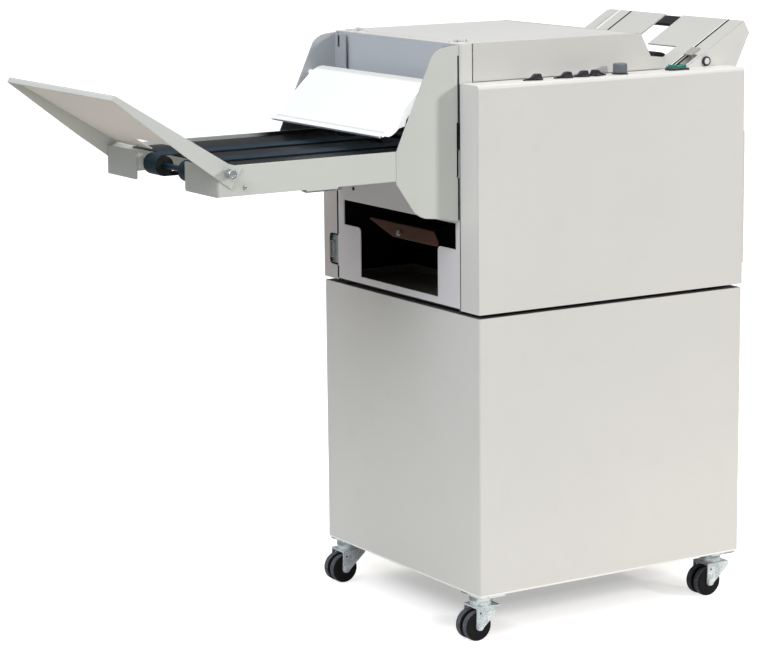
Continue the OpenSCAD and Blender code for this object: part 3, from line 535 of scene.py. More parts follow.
def two_tone_plastic(name, low_tint, high_tint, axis, level):
    """Plastic moulded in two colours that meet at one level."""
    plastic = Finish(name)
    rounded, rim = plastic.edge(0.0005)
    upper = plastic.past(plastic.along(axis), level, 0.0002)
    grain = plastic.noise(600.0, 3.0)
    touch = plastic.step(plastic.noise(80.0, 3.0), 0.4, 0.7)
    high = plastic.mix(touch * 0.4, shade(high_tint, 0.94), shade(high_tint, 1.08))
    base = plastic.mix(upper, low_tint, high)
    # Painted highlight along the edges
    base = plastic.mix(rim * 0.3, base, shade(high_tint, 1.4))
    return plastic.surface(base, 0.38 + grain * 0.12 - touch * 0.06, grain, 0.08, 0.0002, rounded)


def studio_floor(name, tint, glow, foot, wheels):
    """Pale seamless paper with a faint tooth, lifted to white outside the soft shade of cabinet and casters."""
    paper = Finish(name)
    tooth = paper.noise(160.0, 3.0)
    flat = paper.vector("MULTIPLY", paper.spot, (1, 1, 0))
    far = paper.step(paper.vector("LENGTH", flat, (0, 0, 0), "Value"), 0.6, 2.4)
    base = paper.mix(far, tint, shade(tint, 0.4))
    depths = [(half + spread - abs(paper.along(axis) - drift)) / fade
              for axis, half, (spread, drift, fade) in ((RUN, foot.x, SHADE_RUN), (ACROSS, foot.y, SHADE_ACROSS))]
    dim = paper.step(paper.math("MINIMUM", *depths), 0.0, 1.0) * SHADE_GAIN
    dim = paper.math("MINIMUM", dim, SHADE_MOST)
    for place in wheels:
        under = Vector((place[0], place[1], 0)) + CASTER_DRIFT
        near = paper.vector("DISTANCE", flat, tuple(under), "Value")
        dim = paper.math("MAXIMUM", dim, (1 - paper.step(near, *CASTER_FADE)) * CASTER_MOST)
    seen = paper.add("ShaderNodeLightPath", out="Is Camera Ray")
    paper.feed(paper.shader.inputs["Emission Color"], paper.mix(seen * (1 - dim), (0, 0, 0), (1, 1, 1)))
    return paper.surface(base, 0.82 + tooth * 0.08, tooth, 0.02, 0.0004, None,
                         {"Specular IOR Level": 0.0, "Emission Strength": glow})


def dress(material, *names):
    """Gives CAD nodes a finish."""
    for name in names:
        mesh = NODES[name].data
        mesh.materials.clear()
        mesh.materials.append(material)


def middle(node):
    """The middle of a CAD node's box."""
    low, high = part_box(node)
    return (low + high) / 2


def turned(mesh, profile, place, flutes=0, depth=0.0, steps=48):
    """Turns a profile of (radius, height) points about Z at a place.

    A point with a third value is on a grip, and flutes of some depth groove it.
    """
    steps = max(steps, flutes * 4)
    rings = []
    for point in profile:
        radius, height, *grooved = point
        if radius == 0:
            rings.append([mesh.verts.new(place @ Vector((0, 0, height)))])
            continue
        ring = []
        for k in range(steps):
            turn = math.tau * k / steps
            dip = depth * (0.5 - 0.5 * math.cos(flutes * turn)) if grooved else 0
            reach = radius - dip
            ring.append(mesh.verts.new(place @ Vector((reach * math.cos(turn), reach * math.sin(turn), height))))
        rings.append(ring)
    for lower, upper in zip(rings, rings[1:]):
        for k in range(steps):
            after = (k + 1) % steps
            if len(lower) == 1:
                mesh.faces.new((lower[0], upper[after], upper[k]))
            elif len(upper) == 1:
                mesh.faces.new((lower[k], lower[after], upper[0]))
            else:
                mesh.faces.new((lower[k], lower[after], upper[after], upper[k]))


def shaft(mesh, place):
    """The shaft that a knob turns on, down through the cover."""
    turned(mesh, [(0, -SHAFT_DEEP), (SHAFT_R, -SHAFT_DEEP), (SHAFT_R, 0.001), (0, 0.001)], place, steps=24)


def lofted(mesh, rings, place, soften, segments=2):
    """Skins rings of points that match one to one, closes both ends and rounds the edges."""
    rows = [[mesh.verts.new(point) for point in ring] for ring in rings]
    faces = [mesh.faces.new(rows[0][::-1]), mesh.faces.new(rows[-1])]
    for lower, upper in zip(rows, rows[1:]):
        for k in range(len(lower)):
            after = (k + 1) % len(lower)
            faces.append(mesh.faces.new((lower[k], lower[after], upper[after], upper[k])))
    edges = {edge for face in faces for edge in face.edges}
    sharp = [edge for edge in edges if edge.calc_face_angle(0) > 0.35]
    sharp.sort(key=lambda edge: tuple(edge.verts[0].co) + tuple(edge.verts[1].co))
    cut = bmesh.ops.bevel(mesh, geom=sharp, offset=soften, segments=segments, profile=0.5, affect="EDGES",
                          clamp_overlap=True)
    made = {vert for row in rows for vert in row if vert.is_valid} | set(cut["verts"])
    made |= {vert for face in cut["faces"] for vert in face.verts}
    for vert in made:
        vert.co = place @ vert.co


def extruded(mesh, outline, low, high, place, soften):
    """Pushes an outline of (u, v) points from w = low to w = high and rounds its edges."""
    lofted(mesh, [[Vector((u, v, w)) for u, v in outline] for w in (low, high)], place, soften)


def strip(mesh, low, high, place=Matrix(), soften=0.0002):
    """A strip between two corners, with eased edges."""
    outline = [(low[0], low[1]), (high[0], low[1]), (high[0], high[1]), (low[0], high[1])]
    extruded(mesh, outline, low[2], high[2], place, soften)


def piece(name, mesh, material, body, slot, *stands_for):
    """Turns a mesh into a named piece that rides on a body."""
    bmesh.ops.recalc_face_normals(mesh, faces=mesh.faces[:])
    data = bpy.data.meshes.new(name)
    mesh.to_mesh(data)
    mesh.free()
    made = bpy.data.objects.new(name, data)
    bpy.context.scene.collection.objects.link(made)
    data.materials.append(material)
    data.shade_smooth()
    data.set_sharp_from_angle(angle=SMOOTH_UNDER)
    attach(made, body)
    if stands_for:
        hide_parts(*stands_for)


def facing(place, direction):
    """A placing whose own Z points in a direction."""
    return Matrix.Translation(place) @ Vector(direction).to_track_quat("Z", "Y").to_matrix().to_4x4()


def screw_heads(name, spots, direction, material, slot, scale=1.0):
    """A group of like button-head screws on the machine, each with a driving recess."""
    r = sizes().screw_r * scale
    h = sizes().screw_h * scale
    mesh = bmesh.new()
    profile = [(0, 0), (r, 0), (r, 0.3 * h), (0.93 * r, 0.62 * h), (0.76 * r, 0.88 * h), (0.52 * r, h),
               (0.44 * r, h), (0.42 * r, 0.92 * h), (0.4 * r, 0.35 * h), (0, 0.35 * h)]
    for spot in spots:
        turned(mesh, profile, facing(spot, direction), steps=24)
    piece(name, mesh, material, "machine", slot)


class BOOKLET_OT_cabinet(bpy.types.Operator):
    """Paints the cabinet, covers, lid, panels and infeed boxes, and finishes the base, bin, feet and hinge pins."""
    bl_idname = "booklet.cabinet"
    bl_label = "Cabinet and Covers"

    def execute(self, context):
        def hem_highlight(paint):
            """A painted highlight along the folded foot of the cabinet."""
            return [(1 - paint.past(paint.along(UP), HEM_HIGHLIGHT_TOP), fold_highlight())]

        def rear_end_shade(paint):
            """Painted shade: the left end of the rear cover, seen beside the end panel, painted darker."""
            return [(1 - paint.past(paint.along(RUN), REAR_COVER_END, 0.0002), hue("rear_end_shade"))]

        def lid_shade(paint):
            """Painted shade: a dark band along the fold at the lid's right end, and the lid's front painted darker.
            """
            top = paint.past(paint.along(UP), LID_TOP)
            front = 1 - paint.past(paint.along(ACROSS), LID_FRONT, 0.0005)
            return [(front, hue("cream", 0.9)),
                    (top * paint.band(paint.along(RUN), LID_FOLD_SHADE) * 0.3, hue("dark"))]

        def exit_mouth_shade(paint):
            """Painted shade: the end panel painted dark round the exit, and painted cooler and darker where it lies
            under the hood.
            """
            inside = 1 - paint.past(abs(paint.along(ACROSS)), EXIT_HALF, 0.0005)
            rise = paint.along(UP)
            return [(paint.past(rise, HOOD_FOOT, 0.01), hue("hood_cool_shade")),
                    (inside * paint.band(rise, EXIT_RISE), hue("dark"))]

        def slope_side_shade(paint):
            """Painted shade: the sloped faces beside the table get the darker table colour, with a painted highlight
            along their fold, and the recess that the guide tab slides in is painted dark.
            """
            climb = Vector((math.cos(TABLE_SLOPE), 0, math.sin(TABLE_SLOPE)))
            rise = Vector((-math.sin(TABLE_SLOPE), 0, math.cos(TABLE_SLOPE)))
            run = paint.along(tuple(climb)) - TABLE_EDGE.dot(climb)
            deep = paint.along(tuple(rise)) - TABLE_EDGE.dot(rise)
            side = paint.along(ACROSS)
            along_it, across_it, below_it = GUIDE_RECESS
            recess = paint.band(run, along_it) * paint.band(side, across_it) * paint.band(deep, below_it)
            face = paint.past(deep, TABLE_FACE)
            return [(face, hue("table")), (face * paint.band(side, SIDE_FOLD_HIGHLIGHT), fold_highlight()),
                    (recess, hue("dark"))]

        cream = hue("cream")
        dress(sprayed_paint("cabinet_paint", cream, painted_light=hem_highlight), "cabinet_body")
        dress(sprayed_paint("cover_paint", cream), "front_cover", "right_panel", "service_plate", "hood_bridge")
        dress(sprayed_paint("rear_cover_paint", cream, painted_light=rear_end_shade), "rear_cover")
        dress(sprayed_paint("lid_paint", cream, painted_light=lid_shade), "lid")
        dress(sprayed_paint("end_panel_paint", hue("panel"), painted_light=exit_mouth_shade), "end_panel")
        dress(sprayed_paint("infeed_paint", cream, painted_light=slope_side_shade), "infeed_front", "infeed_rear")
        dress(black_sheet("bin_black", (1, 1, 0.2), (BIN_FLOOR, hue("bin_floor_light"))), "bin_liner")
        # Painted shade: in the dark gap under the machine, the panels get the cream paint darkened and the base
        # plate is black
        dress(sprayed_paint("inner_panels", hue("cream", 0.3), 0.5), "cabinet_panels")
        dress(black_sheet("base_black"), "base_plate")
        dress(soft_rubber("foot_rubber", hue("rubber"), hue("rubber_dust")), "machine_feet")
        dress(plated_steel("hinge_pin_steel", hue("steel"), hue("zinc")), "lid_pins")
        return {"FINISHED"}


class BOOKLET_OT_casters(bpy.types.Operator):
    """Finishes the four casters: plated forks and mounts, rubber wheels."""
    bl_idname = "booklet.casters"
    bl_label = "Casters"

    def execute(self, context):
        # On the forks and mounts the dark blue-grey cast is partly painted reflection, strongest on the mounts
        zinc = plated_steel("fork_zinc", hue("zinc"), hue("plating"), roughness=0.2, cast=0.35, metal=0.4)
        dress(zinc, *[f"fork_{corner}" for corner in CORNERS])
        dress(plated_steel("mount_zinc", hue("zinc"), hue("plating"), roughness=0.18, cast=0.8), "caster_mounts")
        for corner in CORNERS:
            joint = JOINTS[f"caster_{corner}_roll"]
            dress(wheel_rubber(f"wheel_rubber_{corner}", joint), f"wheels_{corner}")
        return {"FINISHED"}


class BOOKLET_OT_hood(bpy.types.Operator):
    """Paints the hood plates and finishes the exit guard and exit rollers."""
    bl_idname = "booklet.hood"
    bl_label = "Hood and Exit"

    def execute(self, context):
        def hood_inner_shade(paint):
            """Painted shade: the inner faces painted cooler and darker than the outside, and painted dark beside the
            exit.
            """
            inner = 1 - paint.past(abs(paint.along(ACROSS)), HOOD_INNER, 0.0002)
            return [(inner, hue("hood_cool_shade", 0.76)),
                    (inner * paint.band(paint.along(UP), HOOD_DARK, 0.002), hue("dark"))]

        dress(sprayed_paint("hood_paint", hue("grey"), painted_light=hood_inner_shade), "hood_front", "hood_rear")
        hinge = JOINTS["guard_lift"]["pos_m"]
        dress(glossy_guard("guard_gloss", hinge), "exit_guard")
        dress(roller_skin("exit_roller_rubber", hue("rubber", 1.4), hue("rubber"), EXIT_SLEEVE),
              "exit_roller_upper", "exit_roller_lower")
        return {"FINISHED"}


class BOOKLET_OT_tray(bpy.types.Operator):
    """Paints the delivery tray and its flap, and finishes belts, rollers and chute."""
    bl_idname = "booklet.tray"
    bl_label = "Delivery Tray and Chute"

    def execute(self, context):
        def exit_shade(paint):
            """Painted shade: the inner walls where the tray runs under the hood, and the left ends of the rails
            under the flap, painted darker.
            """
            inner = 1 - paint.past(abs(paint.along(ACROSS)), TRAY_WALL, 0.0002)
            run = paint.along(RUN)
            return [(inner * paint.past(run, TRAY_DARK, 0.025), hue("dark")),
                    (1 - paint.past(run, RAIL_END, 0.001), hue("grey", 0.75))]

        def flap_face_light(paint):
            """The underside of the flap, between its hems: a warm tone, painted lighter for light bounced up from
            the floor.
            """
            between = 1 - paint.past(abs(paint.along(ACROSS)), FLAP_HALF, 0.0005)
            return [(between * paint.band(paint.along(FLAP_DOWN), FLAP_FACE, 0.0003), hue("flap"))]

        # Painted light: the tray and flap get the grey paint made lighter than on the hood
        pale = hue("grey", 1.045)
        dress(sprayed_paint("tray_paint", pale, painted_light=exit_shade), "tray_pan")
        dress(sprayed_paint("flap_paint", pale, painted_light=flap_face_light), "end_flap")
        dress(black_sheet("bed_black"), "tray_bed")
        dress(woven_belt("belt_weave"), "tray_belts")
        dress(roller_skin("tray_roller_sleeve", hue("teal"), hue("rubber"), TRAY_SLEEVE), "end_roller",
              "drive_roller")
        dress(chute_paint("chute_brown"), "chute_plate")
        return {"FINISHED"}


class BOOKLET_OT_infeed(bpy.types.Operator):
    """Finishes the infeed table, its bridge, feed wheels and guide tab."""
    bl_idname = "booklet.infeed"
    bl_label = "Infeed"

    def execute(self, context):
        def side_fold_highlight(paint):
            """A painted highlight along the fold on the outer side of the front plate."""
            return [(paint.band(-1 * paint.along(ACROSS), TABLE_FOLD_HIGHLIGHT), fold_highlight())]

        # Painted shade: the table plates get the cream paint darkened
        dress(sprayed_paint("table_paint", hue("table"), 0.36, side_fold_highlight), "table_plates")
        dress(black_sheet("bridge_black", (1, 0.12, 1)), "infeed_bridge", "infeed_deck")
        dress(soft_rubber("feed_rubber", hue("rubber", 0.5), hue("rubber")), "feed_roller")
        dress(moulded_plastic("tab_plastic", hue("beige"), 0.42, worn_and_lit=0.9), "guide_tab")
        return {"FINISHED"}


class BOOKLET_OT_works(bpy.types.Operator):
    """Finishes what works inside: frames, paper deck, stitch bar and stitch heads."""
    bl_idname = "booklet.works"
    bl_label = "Inner Works"

    def execute(self, context):
        dress(plated_steel("frame_steel", hue("steel"), hue("zinc"), (0.1, 1, 1), 0.38, 0.15), "front_frame",
              "rear_frame", "stitch_bar")
        dress(plated_steel("deck_steel", hue("steel"), hue("zinc"), (0.06, 1, 1), 0.3, 0.1), "paper_deck")
        dress(black_sheet("stitcher_black", (1, 1, 0.2)), "stitch_head_front", "stitch_head_rear")
        return {"FINISHED"}


class BOOKLET_OT_pointer_knobs(bpy.types.Operator):
    """Builds the four pointer knobs: skirt, flat pointer, and a grip that tapers into it."""
    bl_idname = "booklet.pointer_knobs"
    bl_label = "Pointer Knobs"

    def execute(self, context):
        navy = moulded_plastic("knob_plastic", hue("navy"), 0.4, worn_and_lit=0.12, coat=0.05)
        for number in range(1, 5):
            low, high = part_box(f"knob_{number}")
            origin = Vector(JOINTS[f"dial_{number}_turn"]["pos_m"])
            back = high.x - origin.x > origin.x - low.x
            reach = max(high.x - origin.x, origin.x - low.x)
            floor = high.z - GRIP_TOP
            turn = Matrix.Rotation(math.pi if back else 0, 4, "Z")
            place = Matrix.Translation((origin.x, origin.y, floor)) @ turn
            mesh = bmesh.new()
            skirt = [(0, 0.0003), (0.0103, 0.0003), (0.0105, 0.0006), (0.0105, 0.0024), (0.0101, 0.0031),
                     (0.0088, 0.0033), (0.0082, 0.0031), (0, 0.0034)]
            turned(mesh, skirt, place)
            pointer = [(-reach, -0.0007), (-0.003, -0.0098), (-0.003, 0.0098), (-reach, 0.0007)]
            extruded(mesh, pointer, 0.0003, 0.0022, place, 0.0005)
            grip = [(0.001 - reach, 0.0007, 0.0019), (-0.012, 0.0034, 0.0046), (-0.007, 0.0045, 0.0081),
                    (-0.0035, 0.0045, GRIP_TOP), (0.0052, 0.0045, GRIP_TOP), (0.0085, 0.0045, 0.0030)]
            lofted(mesh, [[(x, -half, 0.001), (x, half, 0.001), (x, half, top), (x, -half, top)]
                          for x, half, top in grip], place, 0.0006, 3)
            shaft(mesh, place)
            piece(f"pointer_knob_{number}", mesh, navy, f"dial_{number}", "black_plastic", f"knob_{number}")
        return {"FINISHED"}


class BOOKLET_OT_cap_knob(bpy.types.Operator):
    """Builds the plain grey knob: a fluted cap with a dished top on a black collar."""
    bl_idname = "booklet.cap_knob"
    bl_label = "Grey Knob"

    def execute(self, context):
        low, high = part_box("cap_knob")
        spot = middle("cap_knob")
        wide = (high.x - low.x) / 2
        cap = wide - 0.0015
        tall = high.z - low.z - SHAFT_DEEP
        floor = high.z - tall
        place = Matrix.Translation((spot.x, spot.y, floor))
        mesh = bmesh.new()
        collar = [(0, 0.0003), (wide, 0.0003), (wide, 0.0017), (wide - 0.0006, 0.0023), (cap - 0.001, 0.0023),
                  (cap - 0.001, 0.0032)]
        crown = [(cap, 0.0034, 1), (cap, tall - 0.0026, 1), (cap - 0.0004, tall - 0.0014),
                 (cap - 0.0014, tall - 0.0003), (cap - 0.0026, tall), (cap - 0.0036, tall - 0.0001),
                 (cap - 0.0046, tall - 0.0007), (0, tall - 0.0010)]
        turned(mesh, collar + crown, place, 28, 0.0007)
        shaft(mesh, place)
        grey = two_tone_plastic("cap_plastic", hue("plastic"), hue("cap"), UP, floor + 0.0028)
        piece("grey_knob", mesh, grey, "cap_dial", "grey_plastic", "cap_knob")
        return {"FINISHED"}


class BOOKLET_OT_rocker(bpy.types.Operator):
    """Builds the rocker with its dipped top, and finishes its frame."""
    bl_idname = "booklet.rocker"
    bl_label = "Rocker Switch"

    def execute(self, context):
        low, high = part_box("rocker")
        spot = middle("rocker")
        half = (high.x - low.x) / 2
        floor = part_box("rocker_frame")[1].z - 0.0035
        rise = high.z - floor
        outline = [(half, -0.001), (half, rise - 0.0012)]
        for k in range(13):
            share = 1 - k / 6
            dip = 0.0026 * math.cos(share * math.pi / 2) ** 1.5
            outline.append((share * (half - 0.0012), rise - 0.0002 - dip - 0.0006 * (share + 1) / 2))
        outline += [(-half, rise - 0.0006), (-half, -0.001), (-0.004, -0.008), (0.004, -0.008)]
        mesh = bmesh.new()
        place = Matrix.Translation((spot.x, spot.y, floor)) @ Matrix.Rotation(math.radians(90), 4, "X")
        extruded(mesh, outline, -0.0063, 0.0063, place, 0.0005)
        pin = facing((spot.x, spot.y - 0.0072, floor - 0.004), ACROSS)
        pivot = [(0, 0), (0.0016, 0), (0.002, 0.0004), (0.002, 0.014), (0.0016, 0.0144), (0, 0.0144)]
        turned(mesh, pivot, pin, steps=24)
        green = moulded_plastic("rocker_green", hue("green"), 0.26, 900.0, worn_and_lit=0.25, coat=0.35)
        piece("rocker_key", mesh, green, "rocker_body", "green_plastic", "rocker")
        dress(moulded_plastic("switch_black", hue("plastic"), 0.36), "rocker_frame")
        return {"FINISHED"}


class BOOKLET_OT_turned_heads(bpy.types.Operator):
    """Builds the knurled thumbscrews on the flap, the chute nut and the lock knob with its pale centre."""
    bl_idname = "booklet.turned_heads"
    bl_label = "Thumbscrews, Chute Nut and Lock"

    def execute(self, context):
        steel = plated_steel("thumbscrew_steel", hue("steel"), hue("plating"), roughness=0.26)
        depth = sizes().knurl
        count = sizes().knurls
        for end, way in (("front", FRONT), ("rear", ACROSS)):
            low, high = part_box(f"thumbscrew_{end}")
            spot = middle(f"thumbscrew_{end}")
            near = high.y if way == FRONT else low.y
            long = high.y - low.y
            r = (high.x - low.x) / 2
            head = long - 0.016
            stem = [(0, 0), (0.0028, 0), (0.003, 0.0003), (0.003, head - 0.004), (0.005, head - 0.004),
                    (0.005, head)]
            grip = [(r - 0.0012, head), (r, head + 0.001), (r, head + 0.0013, 1), (r, long - 0.0013, 1),
                    (r, long - 0.001), (r - 0.001, long), (0.0046, long), (0.004, long - 0.0006),
                    (0, long - 0.0006)]
            mesh = bmesh.new()
            turned(mesh, stem + grip, facing((spot.x, near, spot.z), way), count, depth)
            piece(f"thumbscrew_head_{end}", mesh, steel, f"{end}_thumbscrew", "zinc_steel", f"thumbscrew_{end}")
        joint = JOINTS["chute_knob_turn"]
        place = facing(joint["pos_m"], joint["axis"])
        mesh = bmesh.new()
        turned(mesh, [(0, -0.008), (0.0028, -0.008), (0.003, -0.0077), (0.003, 0.0023), (0.0046, 0.0023),
                      (0.005, 0.0027), (0.005, 0.003, 1), (0.005, 0.0064, 1), (0.005, 0.0067), (0.0044, 0.0073),
                      (0.0024, 0.0073), (0.0021, 0.0069), (0, 0.0069)], place, 24, depth)
        piece("chute_nut", mesh, steel, "chute_screw", "zinc_steel", "chute_knob")
        low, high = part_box("lock_knob")
        spot = middle("lock_knob")
        r = (high.x - low.x) / 2
        place = facing((spot.x, high.y, spot.z), FRONT)
        long = high.y - low.y
        mesh = bmesh.new()
        turned(mesh, [(0, 0), (0.003, 0), (0.003, long - 0.005), (r - 0.0006, long - 0.005), (r, long - 0.0044),
                      (r, long - 0.0042, 1), (r, long - 0.0012, 1), (r - 0.0002, long - 0.0009),
                      (r - 0.0012, long), (0.0062, long), (0.0060, long - 0.0008), (0, long - 0.0008)],
               place, 20, 0.0005)
        black = moulded_plastic("lock_black", hue("plastic"), 0.34)
        piece("lock_ring", mesh, black, "lock_body", "black_plastic", "lock_knob")
        mesh = bmesh.new()
        turned(mesh, [(0, long - 0.0012), (0.0058, long - 0.0012), (0.0058, long - 0.0006), (0.005, long - 0.0002),
                      (0.003, long), (0, long)], place)
        white = moulded_plastic("lock_white", hue("white"), 0.3, coat=0.2)
        piece("lock_centre", mesh, white, "lock_body", "white_plastic")
        return {"FINISHED"}


class BOOKLET_OT_connectors(bpy.types.Operator):
    """Finishes the data connector and power inlet, and adds the insert, a black ring of painted shade round the
    plate, screws, pins and blades.
    """
    bl_idname = "booklet.connectors"
    bl_label = "Connectors"

    def execute(self, context):
        low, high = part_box("data_connector")
        dress(connector_finish("connector_plate", high.x - 0.0007), "data_connector")
        bright = plated_steel("pin_steel", hue("steel"), hue("passivate"), roughness=0.25)
        across = high.y - 0.0220
        level = (low.z + high.z) / 2
        face = low.x + 0.003
        mesh = bmesh.new()
        strip(mesh, (face - 0.0004, across - 0.0032, level - 0.0142), (face, across + 0.0032, level + 0.0142))
        strip(mesh, (face - 0.0014, across - 0.0019, level - 0.0120),
              (face - 0.0002, across + 0.0019, level + 0.0120))
        insert = two_tone_plastic("insert_plastic", hue("plastic"), hue("insert"), LEFT, 0.0006 - face)
        piece("connector_insert", mesh, insert, "machine", "black_plastic")
        spots = [(low.x + 0.002, across, level + step) for step in (-0.022, 0.022)]
        black = moulded_plastic("connector_screw_black", hue("plastic"), 0.4)
        screw_heads("connector_screws", spots, LEFT, black, "black_plastic", 0.7)
        # A black ring round the connector plate, as painted shade where the recess's edge lies in shade
        outer = [(0.0368, 0.0208), (0.0345, 0.0265), (0.0288, 0.0288), (0.0003, 0.0288)]
        inner = [(0.0003, 0.0262), (0.0245, 0.0262), (0.0272, 0.0240), (0.0280, 0.0205)]
        rim = outer + inner
        ring = [(low.y - 0.0072 + u, level + v) for u, v in rim]
        ring += [(low.y - 0.0072 + u, level - v) for u, v in rim[::-1]]
        mesh = bmesh.new()
        turned_up = Matrix(((0, 0, 1, 0), (1, 0, 0, 0), (0, 1, 0, 0), (0, 0, 0, 1)))
        extruded(mesh, ring, high.x - 0.0030, high.x - 0.0017, turned_up, 0.0001)
        shade_ring = soft_rubber("gasket_rubber", hue("rubber", 0.4), hue("rubber"))
        piece("connector_gasket", mesh, shade_ring, "machine", "black_rubber")
        r = sizes().pin_r
        pin = [(0, 0), (r, 0), (r, 0.0009), (r * 0.5, 0.0012), (0, 0.0012)]
        mesh = bmesh.new()
        for row in (-1, 1):
            for k in range(8):
                spot = (face - 0.0013, across + row * 0.0010, level + (k - 3.5) * PIN_STEP + row * 0.0006)
                turned(mesh, pin, facing(spot, LEFT), steps=10)
        piece("connector_pins", mesh, bright, "machine", "zinc_steel")
        dress(moulded_plastic("inlet_black", hue("plastic"), 0.38), "power_inlet")
        spot = middle("power_inlet")
        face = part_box("power_inlet")[1].x
        blade = [(-0.001, -0.002), (0.001, -0.002), (0.001, 0.002), (-0.001, 0.002)]
        mesh = bmesh.new()
        for aside, up in ((-0.007, -0.0035), (0.007, -0.0035), (0, 0.0035)):
            place = facing((face - 0.0204, spot.y + aside, spot.z + up), RUN)
            extruded(mesh, blade, 0, BLADE_LONG, place, 0.0005)
        piece("inlet_blades", mesh, bright, "machine", "zinc_steel")
        return {"FINISHED"}


class BOOKLET_OT_seam_shades(bpy.types.Operator):
    """Adds black strips in the seams of covers, hood, lid and table, as painted shade in the gaps."""
    bl_idname = "booklet.seals"
    bl_label = "Seals"

    def execute(self, context):
        mesh = bmesh.new()
        # Painted shade: black strips between the end panel and the rear cover, then the front cover, and along the
        # front hood plate's outer edge
        uprights = (((-0.2853, 0.2042, 0.5865), (-0.2849, 0.2088, 0.6085)),
                    ((-0.2853, 0.2042, 0.6675), (-0.2849, 0.2088, 0.9715)),
                    ((-0.2852, -0.2000, 0.5865), (-0.2849, -0.1980, 0.9715)),
                    ((-0.2880, -0.1973, 0.7400), (-0.2852, -0.1970, 0.8125)),
                    ((-0.2880, -0.1973, 0.9075), (-0.2852, -0.1970, 1.0200)))
        for low, high in uprights:
            strip(mesh, low, high, soften=0.0001)
        # Painted shade along that plate's inner edge, and in the hood's two upper corners
        strip(mesh, (-0.2903, -0.1947, 0.8150), (-0.2853, -0.1941, 0.9060))
        for side in (-0.183, 0.183):
            strip(mesh, (-0.2909, side - 0.005, 1.008), (-0.2903, side + 0.005, 1.034))
        # Painted shade along the left end of the lid, between its hinges
        for near, far in ((-0.1965, -0.180), (-0.136, 0.136), (0.180, 0.2045)):
            strip(mesh, (-0.2583, near, 1.0362), (-0.2564, far, 1.0385), soften=0.0004)
        # Painted shade beside the table plates, with a gap for the guide tab
        table = Matrix.Translation(TABLE_EDGE) @ Matrix.Rotation(-TABLE_SLOPE, 4, "Y")
        for near, start, end in ((-0.159, -0.155, -0.1185), (-0.159, -0.0925, -0.001), (0.1325, -0.155, -0.001)):
            strip(mesh, (start, near, -0.0010), (end, near + 0.005, 0.0002), table)
        seam_shade = soft_rubber("seal_rubber", hue("rubber", 0.5), hue("rubber"))
        piece("seam_seals", mesh, seam_shade, "machine", "black_rubber")
        return {"FINISHED"}


class BOOKLET_OT_screws(bpy.types.Operator):
    """Adds the screw heads on the tray, end panels and rear cover."""
    bl_idname = "booklet.screws"
    bl_label = "Screw Heads"

    def execute(self, context):
        steel = plated_steel("screw_steel", hue("steel"), hue("zinc"), roughness=0.3)
        black = moulded_plastic("screw_black", hue("plastic"), 0.4)
        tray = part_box("tray_pan")
        floor = tray[0].z + 0.003
        for end, wall, way in (("front", tray[0].y, FRONT), ("rear", tray[1].y, ACROSS)):
            spots = [(tray[0].x + 0.052, wall, floor + 0.013)]
            screw_heads(f"rail_screws_{end}", spots, way, steel, "zinc_steel")
        spots = [(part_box("end_panel")[0].x, 0.150, 0.7565)]
        screw_heads("end_panel_screw", spots, LEFT, black, "black_plastic")
        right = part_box("right_panel")
        spots = [(right[1].x, y, z) for y in (right[0].y + 0.012, right[1].y - 0.016)
                 for z in (right[0].z + 0.02, (right[0].z + right[1].z) / 2, right[1].z - 0.02)]
        screw_heads("right_panel_screws", spots, RUN, black, "black_plastic")
        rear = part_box("rear_cover")
        spots = [(x, rear[1].y, z) for x in (rear[0].x + 0.03, 0, rear[1].x - 0.03)
                 for z in (rear[0].z + 0.025, rear[1].z - 0.025)]
        screw_heads("rear_cover_screws", spots, ACROSS, black, "black_plastic")
        return {"FINISHED"}


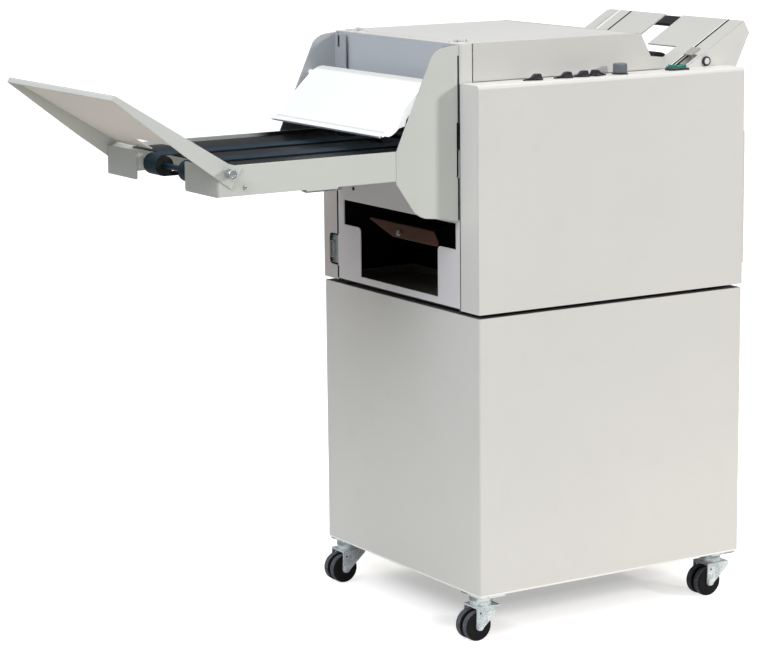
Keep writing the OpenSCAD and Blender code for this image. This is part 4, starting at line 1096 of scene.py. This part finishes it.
class BOOKLET_OT_stage(bpy.types.Operator):
    """Sets the floor, lights and camera."""
    bl_idname = "booklet.stage"
    bl_label = "Studio"

    def execute(self, context):
        scene = context.scene
        stage = scene.booklet_stage
        mesh = bmesh.new()
        bmesh.ops.create_grid(mesh, x_segments=4, y_segments=4, size=40)
        data = bpy.data.meshes.new("studio_floor")
        mesh.to_mesh(data)
        mesh.free()
        floor = bpy.data.objects.new("studio_floor", data)
        scene.collection.objects.link(floor)
        wheels = [JOINTS[f"caster_{corner}_roll"]["pos_m"] for corner in CORNERS]
        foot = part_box("cabinet_body")[1]
        data.materials.append(studio_floor("floor_paper", hue("floor"), stage.glow, foot, wheels))

        def lamp(name, place, goal, wide, power, tone):
            """A square light at a place that shines at a goal."""
            light = bpy.data.lights.new(name, "AREA")
            light.shape = "SQUARE"
            light.size = wide
            light.energy = power
            light.color = tone
            made = bpy.data.objects.new(name, light)
            made.location = place
            made.rotation_euler = (Vector(goal) - Vector(place)).to_track_quat("-Z", "Y").to_euler()
            scene.collection.objects.link(made)

        lamp("key_light", place=(2.65, -4.1, 2.45), goal=(0, 0, 0.7), wide=0.6, power=stage.key,
             tone=(1.0, 0.985, 0.955))
        lamp("fill_light", place=(-3.4, -1.4, 2.9), goal=(-0.2, 0, 0.6), wide=1.6, power=stage.fill,
             tone=(0.84, 0.91, 1.0))
        world = bpy.data.worlds.new("studio_room")
        scene.world = world
        world.use_nodes = True
        room = Bench(world.node_tree, "Generated")
        low, top, backdrop = (0.05, 0.055, 0.06), (0.98, 0.99, 1.0), (0.4, 0.4, 0.4)
        height = room.math("MAXIMUM", room.along(UP), 0.0) ** 4.0
        light = room.mix(height, low, top)
        seen = room.add("ShaderNodeLightPath", out="Is Camera Ray")
        light = room.mix(seen, light, backdrop)
        sky = room.add("ShaderNodeBackground", None, {"Color": light, "Strength": stage.sky})
        room.add("ShaderNodeOutputWorld", None, {"Surface": sky}, None)
        scene.view_settings.view_transform = "Standard"

        bearing, dip, roll = stage.aim
        rear = Vector((math.sin(bearing) * math.cos(dip), -math.cos(bearing) * math.cos(dip), math.sin(dip)))
        right = Vector((math.cos(bearing), math.sin(bearing), 0))
        up = rear.cross(right)
        side = right * math.cos(roll) + up * math.sin(roll)
        head = up * math.cos(roll) - right * math.sin(roll)
        lens = bpy.data.cameras.new("photo_camera")
        lens.lens = stage.focal
        lens.sensor_width = 36
        lens.sensor_fit = "HORIZONTAL"
        lens.clip_end = 200
        camera = bpy.data.objects.new("photo_camera", lens)
        turn = Matrix((side, head, rear)).transposed().to_4x4()
        camera.matrix_world = Matrix.Translation(stage.stand) @ turn
        scene.collection.objects.link(camera)
        scene.camera = camera
        return {"FINISHED"}


STEPS = (BOOKLET_OT_stage, BOOKLET_OT_cabinet, BOOKLET_OT_casters, BOOKLET_OT_hood, BOOKLET_OT_tray,
         BOOKLET_OT_infeed, BOOKLET_OT_works, BOOKLET_OT_pointer_knobs, BOOKLET_OT_cap_knob, BOOKLET_OT_rocker,
         BOOKLET_OT_turned_heads, BOOKLET_OT_connectors, BOOKLET_OT_seam_shades, BOOKLET_OT_screws)


class BOOKLET_PT_looks(bpy.types.Panel):
    """Lists the steps that dress the booklet maker."""
    bl_idname = "BOOKLET_PT_looks"
    bl_label = "Booklet Maker"
    bl_space_type = "VIEW_3D"
    bl_region_type = "UI"
    bl_category = "Booklet Maker"

    def draw(self, context):
        scene = context.scene
        for step in STEPS:
            self.layout.operator(step.bl_idname)
        for group in (scene.booklet_colours, scene.booklet_sizes, scene.booklet_stage):
            box = self.layout.box()
            for name in group.bl_rna.properties.keys():
                if name not in {"rna_type", "name"}:
                    box.prop(group, name)


GROUPS = {"booklet_colours": BookletColours, "booklet_sizes": BookletSizes, "booklet_stage": BookletStage}


def register():
    """Adds the settings, steps and panel."""
    for group in GROUPS.values():
        bpy.utils.register_class(group)
    for name, group in GROUPS.items():
        setattr(bpy.types.Scene, name, PointerProperty(type=group))
    for step in STEPS:
        bpy.utils.register_class(step)
    bpy.utils.register_class(BOOKLET_PT_looks)


def unregister():
    """Takes them away again."""
    bpy.utils.unregister_class(BOOKLET_PT_looks)
    for step in reversed(STEPS):
        bpy.utils.unregister_class(step)
    for name in GROUPS:
        delattr(bpy.types.Scene, name)
    for group in reversed(GROUPS.values()):
        bpy.utils.unregister_class(group)


def main():
    """Runs every step in order."""
    register()
    for step in STEPS:
        getattr(bpy.ops.booklet, step.bl_idname.removeprefix("booklet."))()


if __name__ == "__main__":
    main()
